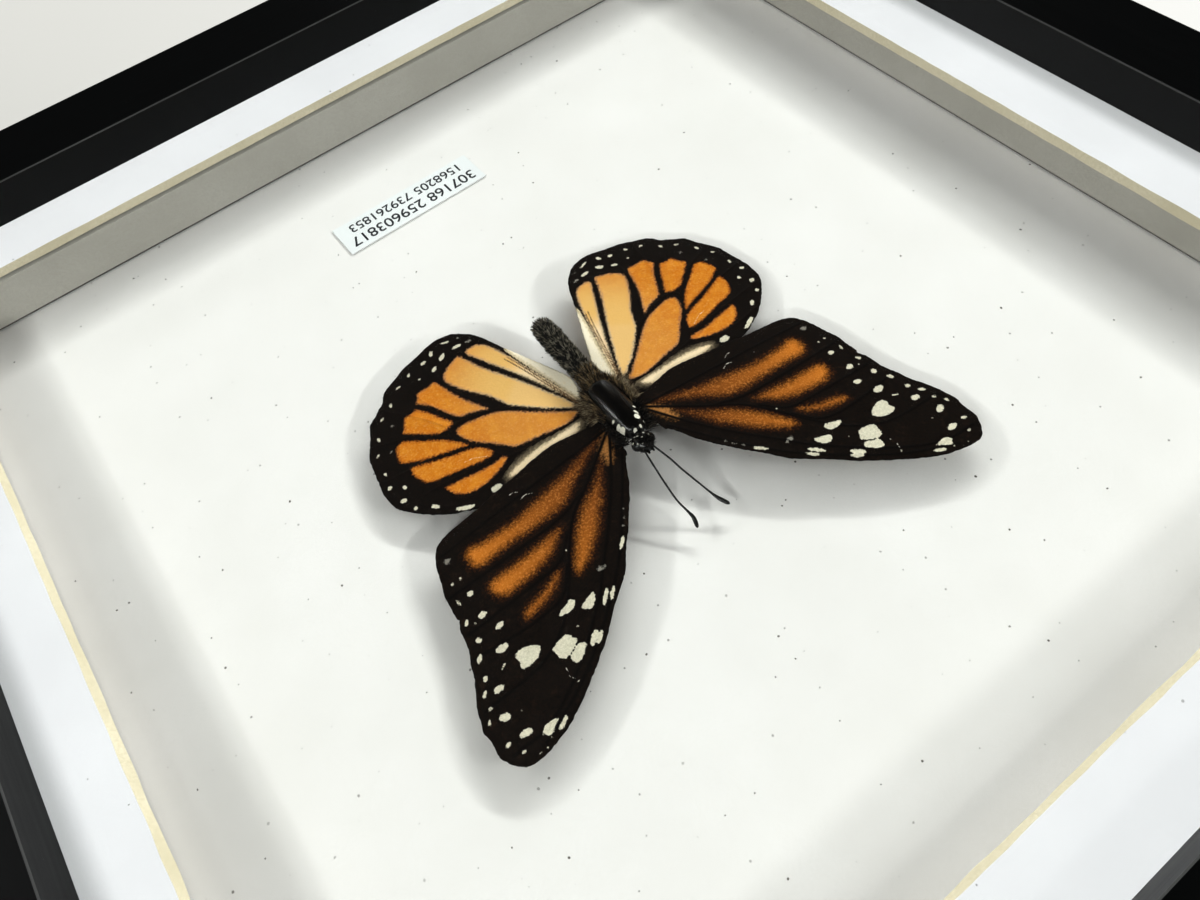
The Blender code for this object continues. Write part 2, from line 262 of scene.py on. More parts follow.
# %% Lamps and world
def lamp(name, at, size, power, in_reflections):
    """A rectangular soft lamp at a place in metres, long side level, facing the frame."""
    data = bpy.data.lights.new(name, "AREA")
    data.shape = "RECTANGLE"
    data.size, data.size_y = size
    data.energy = power
    thing = bpy.data.objects.new(name, data)
    away = Vector(at).normalized()
    level = UP.cross(away).normalized()
    turned = Matrix((level, away.cross(level), away)).transposed()
    thing.matrix_world = Matrix.Translation(at) @ turned.to_4x4()
    thing.visible_glossy = thing.visible_transmission = in_reflections
    scene.collection.objects.link(thing)
    return thing


# The ring light: panels round a circle that isn't quite over the frame, open at the top.
# Each panel's power grows with its distance and lowness, so that all light the board alike,
# and four stretches of the ring (middle in degrees, strength) are brighter than the rest.
RING_AT, RING_RADIUS, RING_PANELS = Vector((-0.14, -0.02, 0.4)), 0.757, 16
RING_FROM, RING_SPAN, RING_POWER = -255.0, 295.0, 12.4
BRIGHT, BRIGHT_WIDTH, REST_OF_RING = ((-142, 1.6), (-50, 0.7), (40, 1.5), (-255, 1.5)), 26.0, 0.25
MIRRORED_FROM = -25.0  # panels before this turn would show in the glass
PANEL = (0.25, 0.03)
turns = [RING_FROM + (k + 0.5) * RING_SPAN / RING_PANELS for k in range(RING_PANELS)]
powers = [REST_OF_RING + sum(s * math.exp(-((turn - c) / BRIGHT_WIDTH) ** 2) for c, s in BRIGHT)
          for turn in turns]
ring = []
for k, (turn, power) in enumerate(zip(turns, powers)):
    out = Vector((math.cos(math.radians(turn)), math.sin(math.radians(turn)), 0.0))
    at = RING_AT + RING_RADIUS * out
    ring.append(lamp(f"ring panel {k + 1}", at, PANEL,
                     RING_POWER * power / sum(powers) * at.length ** 3 / at.z,
                     in_reflections=turn > MIRRORED_FROM))
# Two small lamps put the sparkle on the black body. Their mirror images miss the glass.
lamp("sparkle lamp", Vector((0.28, 0.52, 0.72)), (0.12, 0.06), 0.5, True)
lamp("streak lamp", Vector((-0.57, -0.73, 0.36)), PANEL, 0.9, True)

world = bpy.data.worlds.new("studio")
scene.world = world
world.use_nodes = True
tree = world.node_tree
tree.nodes.clear()
rays = add(tree, "LightPath")
fill = add(tree, "Background", {"Color": "#fbfcff", "Strength": 0.05})
mirrored = add(tree, "Background", {"Color": "#f6f8fb", "Strength": 0.025})
backdrop = add(tree, "Background", {"Color": "#f4f4f3", "Strength": 0.93})
unseen = add(tree, "MixShader", {0: rays.outputs["Is Diffuse Ray"], 1: mirrored.outputs[0],
                                 2: fill.outputs[0]})
seen = add(tree, "MixShader", {0: rays.outputs["Is Camera Ray"], 1: unseen.outputs[0],
                               2: backdrop.outputs[0]})
add(tree, "OutputWorld", {"Surface": seen.outputs[0]})

# %% [markdown]
# ## Black rails
# The moulding is lacquered wood: a flat front that falls a little outwards, sharp inner arris,
# eased outer one, and a rebate behind the lip. We draw the section once, extrude it, bevel the
# long arrises, and cut the two mitres with slanting planes, as a saw does. The pattern's
# coordinates are stored before a rail is turned, so that its grain runs along it.

# %% Satin black lacquer
def black_lacquer(name, dark, light):
    """Satin black lacquer, sprayed on smooth wood: nearly black, a soft sheen, faint grain."""
    mat, tree, shader = new_finish(name, {"IOR": 1.5, "Specular IOR Level": 0.2})
    grain_at = add(tree, "Attribute", attribute_name="grain").outputs["Vector"]
    along = add(tree, "Mapping", {"Vector": grain_at, "Scale": (0.035, 1.0, 1.0)})
    grain = add(tree, "TexNoise", {"Vector": along.outputs[0], "Scale": per_mm(0.7),
                                   "Detail": 4.0}).outputs[0]
    spray = add(tree, "TexNoise", {"Vector": grain_at, "Scale": per_mm(0.35), "Detail": 2.0})
    dust, _ = dots(tree, grain_at, gap=3.0, bare=0.35, size=0.105)
    faint = add(tree, "Math", {0: dust, 1: 0.35}, operation="MULTIPLY")
    relief = add(tree, "Math", {0: grain, 1: spray.outputs[0]}, operation="ADD")
    dress(tree, shader, layered(tree, dark, (grain, light), (faint.outputs[0], "#9a9a96")),
          (grain, 0.34, 0.5), relief.outputs[0], 0.25, 0.02)
    return mat


lacquer = black_lacquer("satin black lacquer", "#060707", "#0b0c0c")
# A painted highlight: the sharp inner arris takes a grey lacquer, which shows as a fine grey line
arris_painted_highlight = black_lacquer("grey lacquer of the painted arris highlight", "#363736", "#5a5b5a")

# %% Cut and mitre one rail
OPENING, REBATE, OUTER = 100.0, 106.0, 118.0
DEPTH, LIP_UNDER, FACE_FALL = 30.0, 22.0, 1.0
SECTION = [(OPENING, LIP_UNDER), (OPENING, DEPTH), (OUTER, DEPTH - FACE_FALL), (OUTER, 0.0),
           (REBATE, 0.0), (REBATE, LIP_UNDER)]
ARRIS = {(OPENING, DEPTH): 0.22, (OUTER, DEPTH - FACE_FALL): 0.9, (OUTER, 0.0): 0.4,
         (OPENING, LIP_UNDER): 0.2}
BLANK_HALF = 130.0  # a rail is cut from a longer blank
MITRE_GAP = 0.01  # on each side of a mitre
LONGEST = 150.0  # edges longer than this run along the rail
GRAIN_SHIFT = 0.4  # mm per degree, so that no two rails have the same grain


def soften(bm, edges, ease, segments=2):
    """Rounds edges over ease mm, and gives the new faces."""
    return bmesh.ops.bevel(bm, geom=edges, offset=ease, offset_type="OFFSET", affect="EDGES",
                           segments=segments, profile=0.5, material=-1)["faces"]


def rail(name, turn):
    bm = bmesh.new()
    face = bm.faces.new([bm.verts.new((-BLANK_HALF, d, z)) for d, z in SECTION])
    moved = bmesh.ops.extrude_face_region(bm, geom=[face])["geom"]
    ends = [v for v in moved if isinstance(v, bmesh.types.BMVert)]
    bmesh.ops.translate(bm, vec=(2 * BLANK_HALF, 0.0, 0.0), verts=ends)
    for (d, z), ease in ARRIS.items():
        long = [e for e in bm.edges if e.calc_length() > LONGEST
                and all(abs(v.co.y - d) + abs(v.co.z - z) < 0.01 for v in e.verts)]
        for f in soften(bm, long, ease, 3):
            # The rounded inner arris takes the grey lacquer of the painted highlight
            if (d, z) == (OPENING, DEPTH):
                f.material_index = 1
    for way in (1.0, -1.0):
        cut = bmesh.ops.bisect_plane(bm, geom=bm.verts[:] + bm.edges[:] + bm.faces[:],
                                     plane_co=(-MITRE_GAP * way, 0.0, 0.0),
                                     plane_no=(way, -1.0, 0.0), clear_outer=True)["geom_cut"]
        bmesh.ops.contextual_create(bm, geom=[g for g in cut
                                              if isinstance(g, bmesh.types.BMEdge)])
    bmesh.ops.recalc_face_normals(bm, faces=bm.faces)
    # Cross cuts turn the long faces into well-shaped ones, which carry the grain's attribute
    bmesh.ops.subdivide_edges(bm, edges=[e for e in bm.edges if e.calc_length() > LONGEST],
                              cuts=23)
    grain = bm.verts.layers.float_vector.new("grain")
    for v in bm.verts:
        v[grain] = (v.co + Vector((GRAIN_SHIFT * turn, 0.0, 0.0))) * MM
    bmesh.ops.rotate(bm, verts=bm.verts, matrix=Matrix.Rotation(math.radians(turn), 3, "Z"))
    piece = place(name.replace("rail", "lacquered_rail"), bm, [lacquer, arris_painted_highlight], [name],
                  35)
    # Flat faces keep their own normals, and only the rounded arrises blend
    piece.modifiers.new("flat faces", "WEIGHTED_NORMAL").keep_sharp = True


for rail_name, turn in (("rail_top", 0), ("rail_left", 90), ("rail_bottom", 180),
                        ("rail_right", 270)):
    rail(rail_name, turn)

# %% Let the ring shine past the rails
# The lip stands only a little above the mat for a real ring light held close. Here the ring is
# further off, so the rails are left out of its shadows and the mat stays bright up to the lip.
rails = bpy.data.collections.new("rails out of the ring's shadows")
for thing in [o for o in scene.objects if o.name.startswith("lacquered_rail")]:
    rails.objects.link(thing)
for item in rails.collection_objects:
    item.light_linking.link_state = "EXCLUDE"
for panel in ring:
    panel.light_linking.blocker_collection = rails

# %% [markdown]
# ## Paper and board
# The mat, the liner strips, the board and the label are paper products. Their surface is the
# same story told with different numbers: a barely uneven white, a fine tooth, and a few dark
# specks of dust and butterfly scales that fell inside the box. One function tells it, and a
# second one lays a darker coat of painted shade along an edge where a piece needs it.

# %% A paper finish
WARP = (0.0002, 0.0002, 0.0002)  # metres, enough to make round specks uneven


def paper(name, light, dark, tooth, speck_gap, speck_size, relief=0.02, flat=False):
    """Matt paper: cloudy tone, fibre tooth of that many mm, dust specks speck_gap mm apart.
    On a flat level sheet the specks lie on the surface instead of all through it."""
    mat, tree, shader = new_finish(name, {"Roughness": 0.9, "IOR": 1.5})
    where = add(tree, "TexCoord").outputs["Object"]
    cloud = add(tree, "TexNoise", {"Vector": where, "Scale": per_mm(18), "Detail": 5.0})
    fibre = add(tree, "TexNoise", {"Vector": where, "Scale": per_mm(tooth), "Detail": 3.0,
                                   "Roughness": 0.7}).outputs[0]
    mixed = add(tree, "Math", {0: cloud.outputs[0], 1: fibre}, operation="MULTIPLY")
    whiter = add(tree, "MapRange", {0: mixed.outputs[0], 1: 0.12, 2: 0.4})
    warp = add(tree, "TexNoise", {"Vector": where, "Scale": per_mm(0.5), "Detail": 1.0})
    bent = add(tree, "VectorMath", {0: warp.outputs["Color"], 1: WARP}, operation="MULTIPLY")
    there = add(tree, "VectorMath", {0: where, 1: bent.outputs[0]}, operation="ADD")
    speck, chance = dots(tree, there.outputs[0], speck_gap, 0.4, speck_size, 1,
                         "2D" if flat else "3D")
    strength = add(tree, "MapRange", {0: chance.outputs[2], 3: 0.25, 4: 1.0})
    brown = add(tree, "Math", {0: speck, 1: strength.outputs[0]}, operation="MULTIPLY")
    dress(tree, shader, layered(tree, dark, (whiter.outputs[0], light),
                                (brown.outputs[0], "#4a4038")), None, fibre, 0.5, relief)
    return mat


def painted_shade_coat(mat, axis, low, high, colour, most=1.0, ramp="LINEAR"):
    """Lays one more coat, of painted shade, on a paper, from none at low mm from the middle plane
    of the axis to the share most at high mm."""
    tree = mat.node_tree
    shader = next(n for n in tree.nodes if n.type == "BSDF_PRINCIPLED")
    face = shader.inputs["Base Color"].links[0].from_socket
    where = add(tree, "SeparateXYZ", {0: add(tree, "TexCoord").outputs["Object"]})
    away = add(tree, "Math", {0: where.outputs[axis]}, operation="ABSOLUTE")
    share = add(tree, "MapRange", {0: away.outputs[0], 1: low * MM, 2: high * MM, 4: most},
                interpolation_type=ramp)
    dress(tree, shader, layered(tree, face, (share.outputs[0], colour)))


print("specks are uneven by up to", WARP[0] / MM, "mm")

# %% Sheet shape
def slab(x, y, z, ease=0.12, segments=2):
    """A flat blank between pairs of x, y and z in mm, with its edges softened by ease."""
    bm = bmesh.new()
    bmesh.ops.create_cube(bm, size=1.0)
    bmesh.ops.scale(bm, vec=(x[1] - x[0], y[1] - y[0], z[1] - z[0]), verts=bm.verts)
    if ease:
        soften(bm, bm.edges[:], ease, segments)
    bmesh.ops.translate(bm, verts=bm.verts, vec=((x[0] + x[1]) / 2, (y[0] + y[1]) / 2,
                                                 (z[0] + z[1]) / 2))
    return bm


trial = slab((0, 10), (0, 10), (0, 1))
print("a slab has", len(trial.faces), "faces")
trial.free()

# %% [markdown]
# ### Board
# The display floor is a smooth white board. Its top carries the specimen.

# %% White board
SHEET_HALF = 105.5
BOARD_Z, LINER_Z, MAT_Z, GLASS_Z = (7.4, 10.4), (10.7, 18.2), (18.5, 19.8), (20.1, 21.7)
full = (-SHEET_HALF, SHEET_HALF)
board_paper = paper("smooth white board", "#f2eeec", "#ebe7e4", tooth=0.35, speck_gap=4.8,
                    speck_size=0.2, relief=0.006, flat=True)
place("white_board", slab(full, full, BOARD_Z), board_paper, ["mount_board"])

# %% [markdown]
# ### Liner strips
# Foam-core strips faced with paper hold the mat up off the board. Each is a blank with eased
# edges. The bottom one leans a little, as a hand-cut strip does, so its blank is sheared.

# %% Liners
LINER_THICK, LINER_EASE, LINER_LEAN = 6.0, 0.1, 2.2
LINER_LEFT, LINER_RIGHT, LINER_TOP, LINER_BOTTOM = -90.6, 93.2, 89.8, -87.0
BUTT_GAP = 0.3  # between the ends of the side strips and the other two
# Painted shade: the liner paper is coloured grey, for white faces that stand in shade inside the
# box
liner_paper_painted_shade = paper("foam-core liner paper, grey for painted shade", "#bcb8b1", "#aeaaa2", tooth=0.4, speck_gap=5.0,
                    speck_size=0.22)
# Painted shade: a dark line along each strip's foot, where it stands just clear of the board
painted_shade_coat(liner_paper_painted_shade, "Z", LINER_Z[0] + 0.28, LINER_Z[0] + 0.16, "#332d27")
inner = (-SHEET_HALF + 0.2, SHEET_HALF - 0.2)
side = (LINER_BOTTOM + BUTT_GAP, LINER_TOP - BUTT_GAP)
for edge, x, y in (("top", inner, (LINER_TOP, LINER_TOP + LINER_THICK)),
                   ("left", (LINER_LEFT - LINER_THICK, LINER_LEFT), side),
                   ("right", (LINER_RIGHT, LINER_RIGHT + LINER_THICK), side)):
    place(f"paper_liner_{edge}", slab(x, y, LINER_Z, LINER_EASE), liner_paper_painted_shade,
          [f"liner_{edge}"])
leaning = slab(inner, (LINER_BOTTOM - LINER_THICK, LINER_BOTTOM), LINER_Z, LINER_EASE)
for v in leaning.verts:
    v.co.y -= LINER_LEAN * (v.co.z - LINER_Z[0]) / (LINER_Z[1] - LINER_Z[0])
place("paper_liner_bottom", leaning, liner_paper_painted_shade, ["liner_bottom"])

# %% [markdown]
# ### Mat
# Mat board is white paper on a cream core. A slanted blade cuts the window, so the core shows as
# a thin cream band that opens towards the glass. The blade wanders a little, which a small
# random shift of the cut edge gives.

# %% Mat with its bevel cut
WINDOW_X, WINDOW_Y, BEVEL = (-87.9, 90.0), (-90.0, 88.2), 0.7
NEAR_WINDOW = 95.0  # vertices closer to the middle than this belong to the cut
mat_paper = paper("mat face paper", "#f3f0f3", "#ebe8eb", tooth=0.3, speck_gap=7.0,
                  speck_size=0.2, relief=0.012, flat=True)
# Painted shade: the last few mm of the paper beside the lips of the left and right rails are
# darkened
painted_shade_coat(mat_paper, "X", 96.5, 100.5, "#8f8f90", most=0.55, ramp="SMOOTHSTEP")
mat_core = paper("cream mat core", "#e4dac4", "#d2c7ad", tooth=0.45, speck_gap=3.0,
                 speck_size=0.12, relief=0.1)


def cut_mat():
    bm = slab(inner, inner, MAT_Z, ease=0.0)
    rims = []
    for face in [f for f in bm.faces if abs(f.normal.z) > 0.5]:
        run = BEVEL if face.normal.z > 0 else 0.0
        bmesh.ops.inset_region(bm, faces=[face], thickness=10.0)
        for v in face.verts:
            v.co.x = WINDOW_X[1] + run if v.co.x > 0 else WINDOW_X[0] - run
            v.co.y = WINDOW_Y[1] + run if v.co.y > 0 else WINDOW_Y[0] - run
        rims.append(face.edges[:])
        bmesh.ops.delete(bm, geom=[face], context="FACES_ONLY")
    band = bmesh.ops.bridge_loops(bm, edges=rims[0] + rims[1])["faces"]
    for face in band:
        face.material_index = 1
    long = {e for f in band for e in f.edges if e.calc_length() > 20.0}
    bmesh.ops.subdivide_edges(bm, edges=list(long), cuts=90, use_grid_fill=True)
    rng = np.random.default_rng(4)
    waves = [(rng.uniform(0.05, 0.9), rng.uniform(0, 6.28), rng.uniform(0.005, 0.018))
             for _ in range(14)]
    for v in bm.verts:
        if max(abs(v.co.x), abs(v.co.y)) < NEAR_WINDOW:
            along = math.atan2(v.co.y, v.co.x) * NEAR_WINDOW + 7.0 * (v.co.z > 19.0)
            shake = sum(size * math.sin(rate * along + start) for rate, start, size in waves)
            v.co.x += shake * (1 if v.co.x > 0 else -1)
            v.co.y += shake * (1 if v.co.y > 0 else -1)
    bmesh.ops.recalc_face_normals(bm, faces=bm.faces)
    soften(bm, [e for e in bm.edges if e.calc_length() > LONGEST], 0.1)
    place("bevel_cut_mat", bm, [mat_paper, mat_core], ["mat_window"])


cut_mat()

# %% [markdown]
# ### Glass
# Picture glass is soda-lime float glass: clear, very flat, index 1.52. Light from the lamps has
# to pass it on its way to the board, which plain transmission in a path tracer finds only by
# luck. So for light rays and for the soft light bounced inside the box the pane is simply
# transparent, and the eye still sees real glass. A little dust lies on it.

# %% Picture glass
def picture_glass():
    mat, tree, shader = new_finish("float picture glass", {
        "IOR": 1.52, "Roughness": 0.0, "Transmission Weight": 1.0, "Base Color": "#fcfefd"})
    where = add(tree, "TexCoord").outputs["Object"]
    dust, _ = dots(tree, where, gap=4.0, bare=0.6, size=0.072)
    thin = add(tree, "Math", {0: dust, 1: 0.5}, operation="MULTIPLY")
    lint = add(tree, "BsdfPrincipled", {"Base Color": "#cfcdc8", "Roughness": 0.9})
    pane = add(tree, "MixShader", {0: thin.outputs[0], 1: shader.outputs[0],
                                   2: lint.outputs[0]})
    rays = add(tree, "LightPath")
    passes = add(tree, "Math", {0: rays.outputs["Is Shadow Ray"],
                                1: rays.outputs["Is Diffuse Ray"]}, operation="MAXIMUM")
    clear = add(tree, "BsdfTransparent", {"Color": "#fafcfb"})
    both = add(tree, "MixShader", {0: passes.outputs[0], 1: pane.outputs[0],
                                   2: clear.outputs[0]})
    out = next(n for n in tree.nodes if n.type == "OUTPUT_MATERIAL")
    tree.links.new(both.outputs[0], out.inputs["Surface"])
    return mat


place("picture_glass", slab(full, full, GLASS_Z, 0.15), picture_glass(), ["glass_pane"])

# %% [markdown]
# ## Back of the frame
# A hardboard panel closes the back, held by eight flat steel points, with a sawtooth hanger
# nailed on. Hardboard is pressed brown fibre: smooth on one side, mottled, with flecks. The
# panel, the steel points and the hanger keep their CAD shapes and get a real surface.

# %% Hardboard
def refinish(node, mat):
    """Gives a CAD node, whose shape stays as it is, a finished material."""
    finishes = frame["nodes"][node].data.materials
    finishes.clear()
    finishes.append(mat)


def hardboard():
    mat, tree, shader = new_finish("pressed hardboard", {"Roughness": 0.7, "IOR": 1.5})
    where = add(tree, "TexCoord").outputs["Object"]
    fibre = add(tree, "TexNoise", {"Vector": where, "Scale": per_mm(1.2), "Detail": 6.0,
                                   "Roughness": 0.75}).outputs[0]
    fleck = add(tree, "TexVoronoi", {"Vector": where, "Scale": per_mm(2.5)})
    near = add(tree, "MapRange", {0: fleck.outputs["Distance"], 1: 0.0, 2: 0.35, 3: 0.6,
                                  4: 0.0})
    dress(tree, shader, layered(tree, "#5a3a22", (fibre, "#9a6f45"),
                                (near.outputs[0], "#4a2e1a")), None, fibre, 0.6, 0.05)
    return mat


refinish("back_panel", hardboard())

# %% Stamped metal
def stamped_metal(name, light, dark, rough):
    """Thin strip metal from a press: rolled streaks, finger-dulled, a few tarnished clouds."""
    mat, tree, shader = new_finish(name, {"Metallic": 1.0})
    where = add(tree, "TexCoord").outputs["Object"]
    rolled = add(tree, "Mapping", {"Vector": where, "Scale": (0.06, 1.0, 1.0)})
    streak = add(tree, "TexNoise", {"Vector": rolled.outputs[0], "Scale": per_mm(0.12),
                                    "Detail": 3.0}).outputs[0]
    cloud = add(tree, "TexNoise", {"Vector": where, "Scale": per_mm(4.0), "Detail": 4.0})
    dress(tree, shader, layered(tree, dark, (cloud.outputs[0], light)),
          (streak, rough - 0.1, rough + 0.12), streak, 0.3, 0.01)
    return mat


point_steel = stamped_metal("zinc-plated strip steel", "#b9bcbe", "#8d9093", 0.38)
hanger_brass = stamped_metal("brass-plated strip steel", "#d6b46c", "#a9853f", 0.33)
for node in frame["nodes"]:
    if node.startswith("flexi_point"):
        refinish(node, point_steel)
    elif "hanger" in node:
        refinish(node, hanger_brass)

# %% [markdown]
# ## Label
# A slip of laid white paper, printed with plain numerals in two lines. Text starts as a curve,
# becomes a mesh, and is then moved into place and joined to the slip.

# %% Label with numerals
LABEL_AT, LABEL_SIZE, LABEL_THICK, LABEL_TURN = (4.95, -60.9), (32.0, 8.6), 0.2, 0.5
LABEL_LIFT = 0.25  # its top over the board
# Each line: its numerals, how wide it is, and where its middle lies on the slip
NUMERALS = (("307168 259603817", 29.0, (0.0, 1.75)), ("1568205 739261853", 26.0, (0.0, -1.9)))
label_paper = paper("label paper", "#f1f2f2", "#e8e9ea", tooth=0.25, speck_gap=5.0,
                    speck_size=0.1)


def printing_ink():
    """Laser-print toner: near black, slightly glossy, a little broken where it sits."""
    mat, tree, shader = new_finish("black toner", {"Roughness": 0.45})
    where = add(tree, "TexCoord").outputs["Object"]
    broken = add(tree, "TexNoise", {"Vector": where, "Scale": per_mm(0.12), "Detail": 2.0})
    dress(tree, shader, layered(tree, "#15161a", (broken.outputs[0], "#3a3b40")))
    return mat


def line_of_numerals(bm, text, width, middle):
    """Adds one printed line, as wide as asked, to the label's mesh."""
    letters = bpy.data.curves.new("numerals", "FONT")
    letters.body = text
    letters.extrude = 0.003
    letters.offset = 0.008
    holder = bpy.data.objects.new("numerals", letters)
    scene.collection.objects.link(holder)
    flat = bpy.data.meshes.new_from_object(holder.evaluated_get(
        bpy.context.evaluated_depsgraph_get()))
    bpy.data.objects.remove(holder)
    bpy.data.curves.remove(letters)
    co = np.array([v.co for v in flat.vertices])
    low, high = co.min(0), co.max(0)
    grow = width / (high[0] - low[0])
    flat.transform(Matrix.Translation((*middle, 0.0)) @ Matrix.Diagonal((grow, grow, 1.0, 1.0))
                   @ Matrix.Translation((-(low[0] + high[0]) / 2, -(low[1] + high[1]) / 2, 0)))
    for face in flat.polygons:
        face.material_index = 1
    bm.from_mesh(flat)
    bpy.data.meshes.remove(flat)


def make_label():
    wide, high = LABEL_SIZE
    bm = slab((-wide / 2, wide / 2), (-high / 2, high / 2), (-LABEL_THICK, 0.0), 0.05, 1)
    for text, width, middle in NUMERALS:
        line_of_numerals(bm, text, width, middle)
    bmesh.ops.rotate(bm, verts=bm.verts, matrix=Matrix.Rotation(math.radians(LABEL_TURN), 3, "Z"))
    bmesh.ops.translate(bm, verts=bm.verts, vec=(*LABEL_AT, BOARD_Z[1] + LABEL_LIFT))
    place("printed_label", bm, [label_paper, printing_ink()], ["label"])


make_label()

# %% [markdown]
# ### Riser
# A small block of white foam holds the body clear of the board. Only its place matters, since
# the body hides it.

# %% Foam riser
FLY_AT, FLY_TURN = (5.5, 9.0), -2.0
foam = paper("white riser foam", "#eceae4", "#d9d6ce", tooth=0.5, speck_gap=6.0,
             speck_size=0.05, relief=0.15)
place("foam_riser", slab((FLY_AT[0] - 2.0, FLY_AT[0] + 2.0), (FLY_AT[1] - 4.0, FLY_AT[1] + 4.0),
                         (10.7, 12.5), 0.2), foam, ["riser_block"])

# %% [markdown]
# ## Butterfly
# Everything on the butterfly is drawn in its own space: across to the right, along the body
# towards the head, and height above the board, in millimetres. One matrix then sets it on the
# board, turned by two degrees.

# %% The butterfly's place
TO_BOARD = (Matrix.Translation((*FLY_AT, BOARD_Z[1]))
            @ Matrix.Rotation(math.radians(FLY_TURN), 4, "Z"))


def to_metres(points):
    """Butterfly space, in mm, to the frame's space in metres, for an array of points."""
    m = np.array(TO_BOARD)
    return (np.asarray(points, float) @ m[:3, :3].T + m[:3, 3]) * MM


# %% [markdown]
# ### Outlines and distances
# A wing's markings are scales of different colours, so they are drawn as small closed shapes on
# the wing. For each vertex of the wing we measure how deep it lies inside the nearest shape.
# That depth is stored on the mesh, and the material turns it into a colour with a soft or a
# crisp border. Curves pass smoothly through the drawn points.

# %% Smooth curves
def curve(points, steps=4, closed=True):
    """A Catmull-Rom curve through the points, as an array."""
    p = np.array(points, float)
    if not closed:
        p = np.vstack([2 * p[0] - p[1], p, 2 * p[-1] - p[-2]])
    a, b, c, d = (np.roll(p, shift, 0) for shift in (1, 0, -1, -2))
    rows = []
    for s in range(steps):
        t = s / steps
        rows.append(0.5 * (2 * b + (c - a) * t + (2 * a - 5 * b + 4 * c - d) * t * t
                           + (3 * b - a - 3 * c + d) * t ** 3))
    out = np.stack(rows, 1)
    if closed:
        return out.reshape(-1, p.shape[1])
    return np.vstack([out[1:-2].reshape(-1, p.shape[1]), p[-2:-1]])


def depth_in(points, ring, reach=4.0):
    """How deep each point lies inside a closed ring, negative outside, and the nearest
    place on the ring. Points further away than reach get minus reach."""
    depth = np.full(len(points), -reach)
    foot = points.copy()
    low, high = ring.min(0) - reach, ring.max(0) + reach
    near = np.flatnonzero(((points > low) & (points < high)).all(1))
    p = points[near]
    best, inside, place_on = np.full(len(p), 1e9), np.zeros(len(p), bool), p.copy()
    for a, b in zip(ring, np.roll(ring, -1, 0)):
        side = b - a
        t = np.clip(((p - a) @ side) / max(side @ side, 1e-12), 0, 1)
        on = a + t[:, None] * side
        gap = np.hypot(*(p - on).T)
        closer = gap < best
        best[closer], place_on[closer] = gap[closer], on[closer]
        if a[1] != b[1]:
            inside ^= (((a[1] > p[:, 1]) != (b[1] > p[:, 1]))
                       & (p[:, 0] < side[0] * (p[:, 1] - a[1]) / side[1] + a[0]))
    depth[near] = np.maximum(np.where(inside, best, -best), -reach)
    foot[near] = place_on
    return depth, foot


def gap_to(points, lines):
    """Distance from each point to the nearest of some open lines."""
    best = np.full(len(points), 1e9)
    for line in lines:
        for a, b in zip(line, line[1:]):
            side = b - a
            t = np.clip(((points - a) @ side) / max(side @ side, 1e-12), 0, 1)
            best = np.minimum(best, np.hypot(*(points - a - t[:, None] * side).T))
    return best


def spot(x, y, long, wide=None, angle=0.0, points=12):
    """A slightly uneven oval, as a closed ring."""
    wide = wide or long
    rng = np.random.default_rng(int(abs(x * 131 + y * 977)) + 5)
    a = np.arange(points) * 2 * math.pi / points
    r = 1 + rng.uniform(-0.1, 0.1, points)
    u, v = long * r * np.cos(a), wide * r * np.sin(a)
    c, s = math.cos(math.radians(angle)), math.sin(math.radians(angle))
    return np.stack([x + u * c - v * s, y + u * s + v * c], 1)


print("a 1 mm spot's centre is", depth_in(np.zeros((1, 2)), spot(0, 0, 1.0))[0][0].round(2),
      "mm deep")

# %% [markdown]
# ### Forewing drawing
# The right forewing from above: outline, then the warm patches between the veins, the veins
# themselves, and the white spots along the outer half.

# %% Forewing outline and veins
FORE_OUTLINE = [
    (3.3, 7.2), (4.0, 8.3), (4.8, 9.6), (6.0, 11.9), (7.0, 13.4), (8.0, 14.8), (9.0, 16.0),
    (10, 17.3), (11, 18.5), (13, 20.8), (15, 23.3), (16.2, 24.4), (20, 27.3), (23, 29.9),
    (26, 32.0), (28, 33.3), (30, 34.55), (32, 35.7), (34, 36.7), (36, 37.4), (38, 37.9),
    (40, 38.15), (41.7, 37.9), (43.0, 36.8), (44.0, 35.2), (44.25, 34.3), (44.05, 32.4),
    (44.3, 30.5), (43.8, 28.8), (43.4, 27.3), (42.3, 25.0), (41.5, 23.4), (41.0, 21.7),
    (40.2, 19.9), (39.7, 17.8), (39.55, 16.1), (38.85, 14.7), (39.1, 14.0), (38.85, 12),
    (38.7, 10.0), (38.2, 8.3), (37.7, 6.3), (37.0, 4.3), (36, 2.75), (35.2, 2.15),
    (34.2, 1.75), (33, 1.45), (31, 1.2), (29, 1.0), (27, 0.8), (24.5, 0.3), (22, 0.0),
    (20, -0.15), (18, -0.5), (16, -0.8), (14, -1.05), (12, -1.1), (10.5, -0.95), (8, -0.45),
    (5.5, 0.1), (3.5, 0.2),
]
FORE_VEINS = [
    [(3.6, 2.6), (8, 5.8), (12, 8.6), (16, 11.2), (19, 14.5), (21, 17.3), (22.5, 19.5)],
    [(3.5, 3.2), (8, 10), (13, 16.2), (17, 20.6), (20, 24)],
    [(3.6, 2.2), (10, 2.6), (18, 3.0), (36, 4.2)],
    [(13, 9), (20, 10.6), (38.5, 10.8)],
    [(18.5, 13.2), (22, 16.3), (27, 16.9), (39, 17.4)],
    [(21.5, 17.5), (25, 21.2), (32, 21.8), (40.5, 21)],
    [(22.5, 19.5), (27, 24.6), (33, 27.6), (42.6, 28.2)],
    [(20, 24), (28, 30.6), (36, 35.0), (42.5, 35.6)],
    [(4.2, 7.6), (10, 15.6), (15.5, 22.2), (22.5, 28.2), (30, 33.3), (38, 36.8)],
]
print("forewing:", len(FORE_OUTLINE), "outline points,", len(FORE_VEINS), "veins")

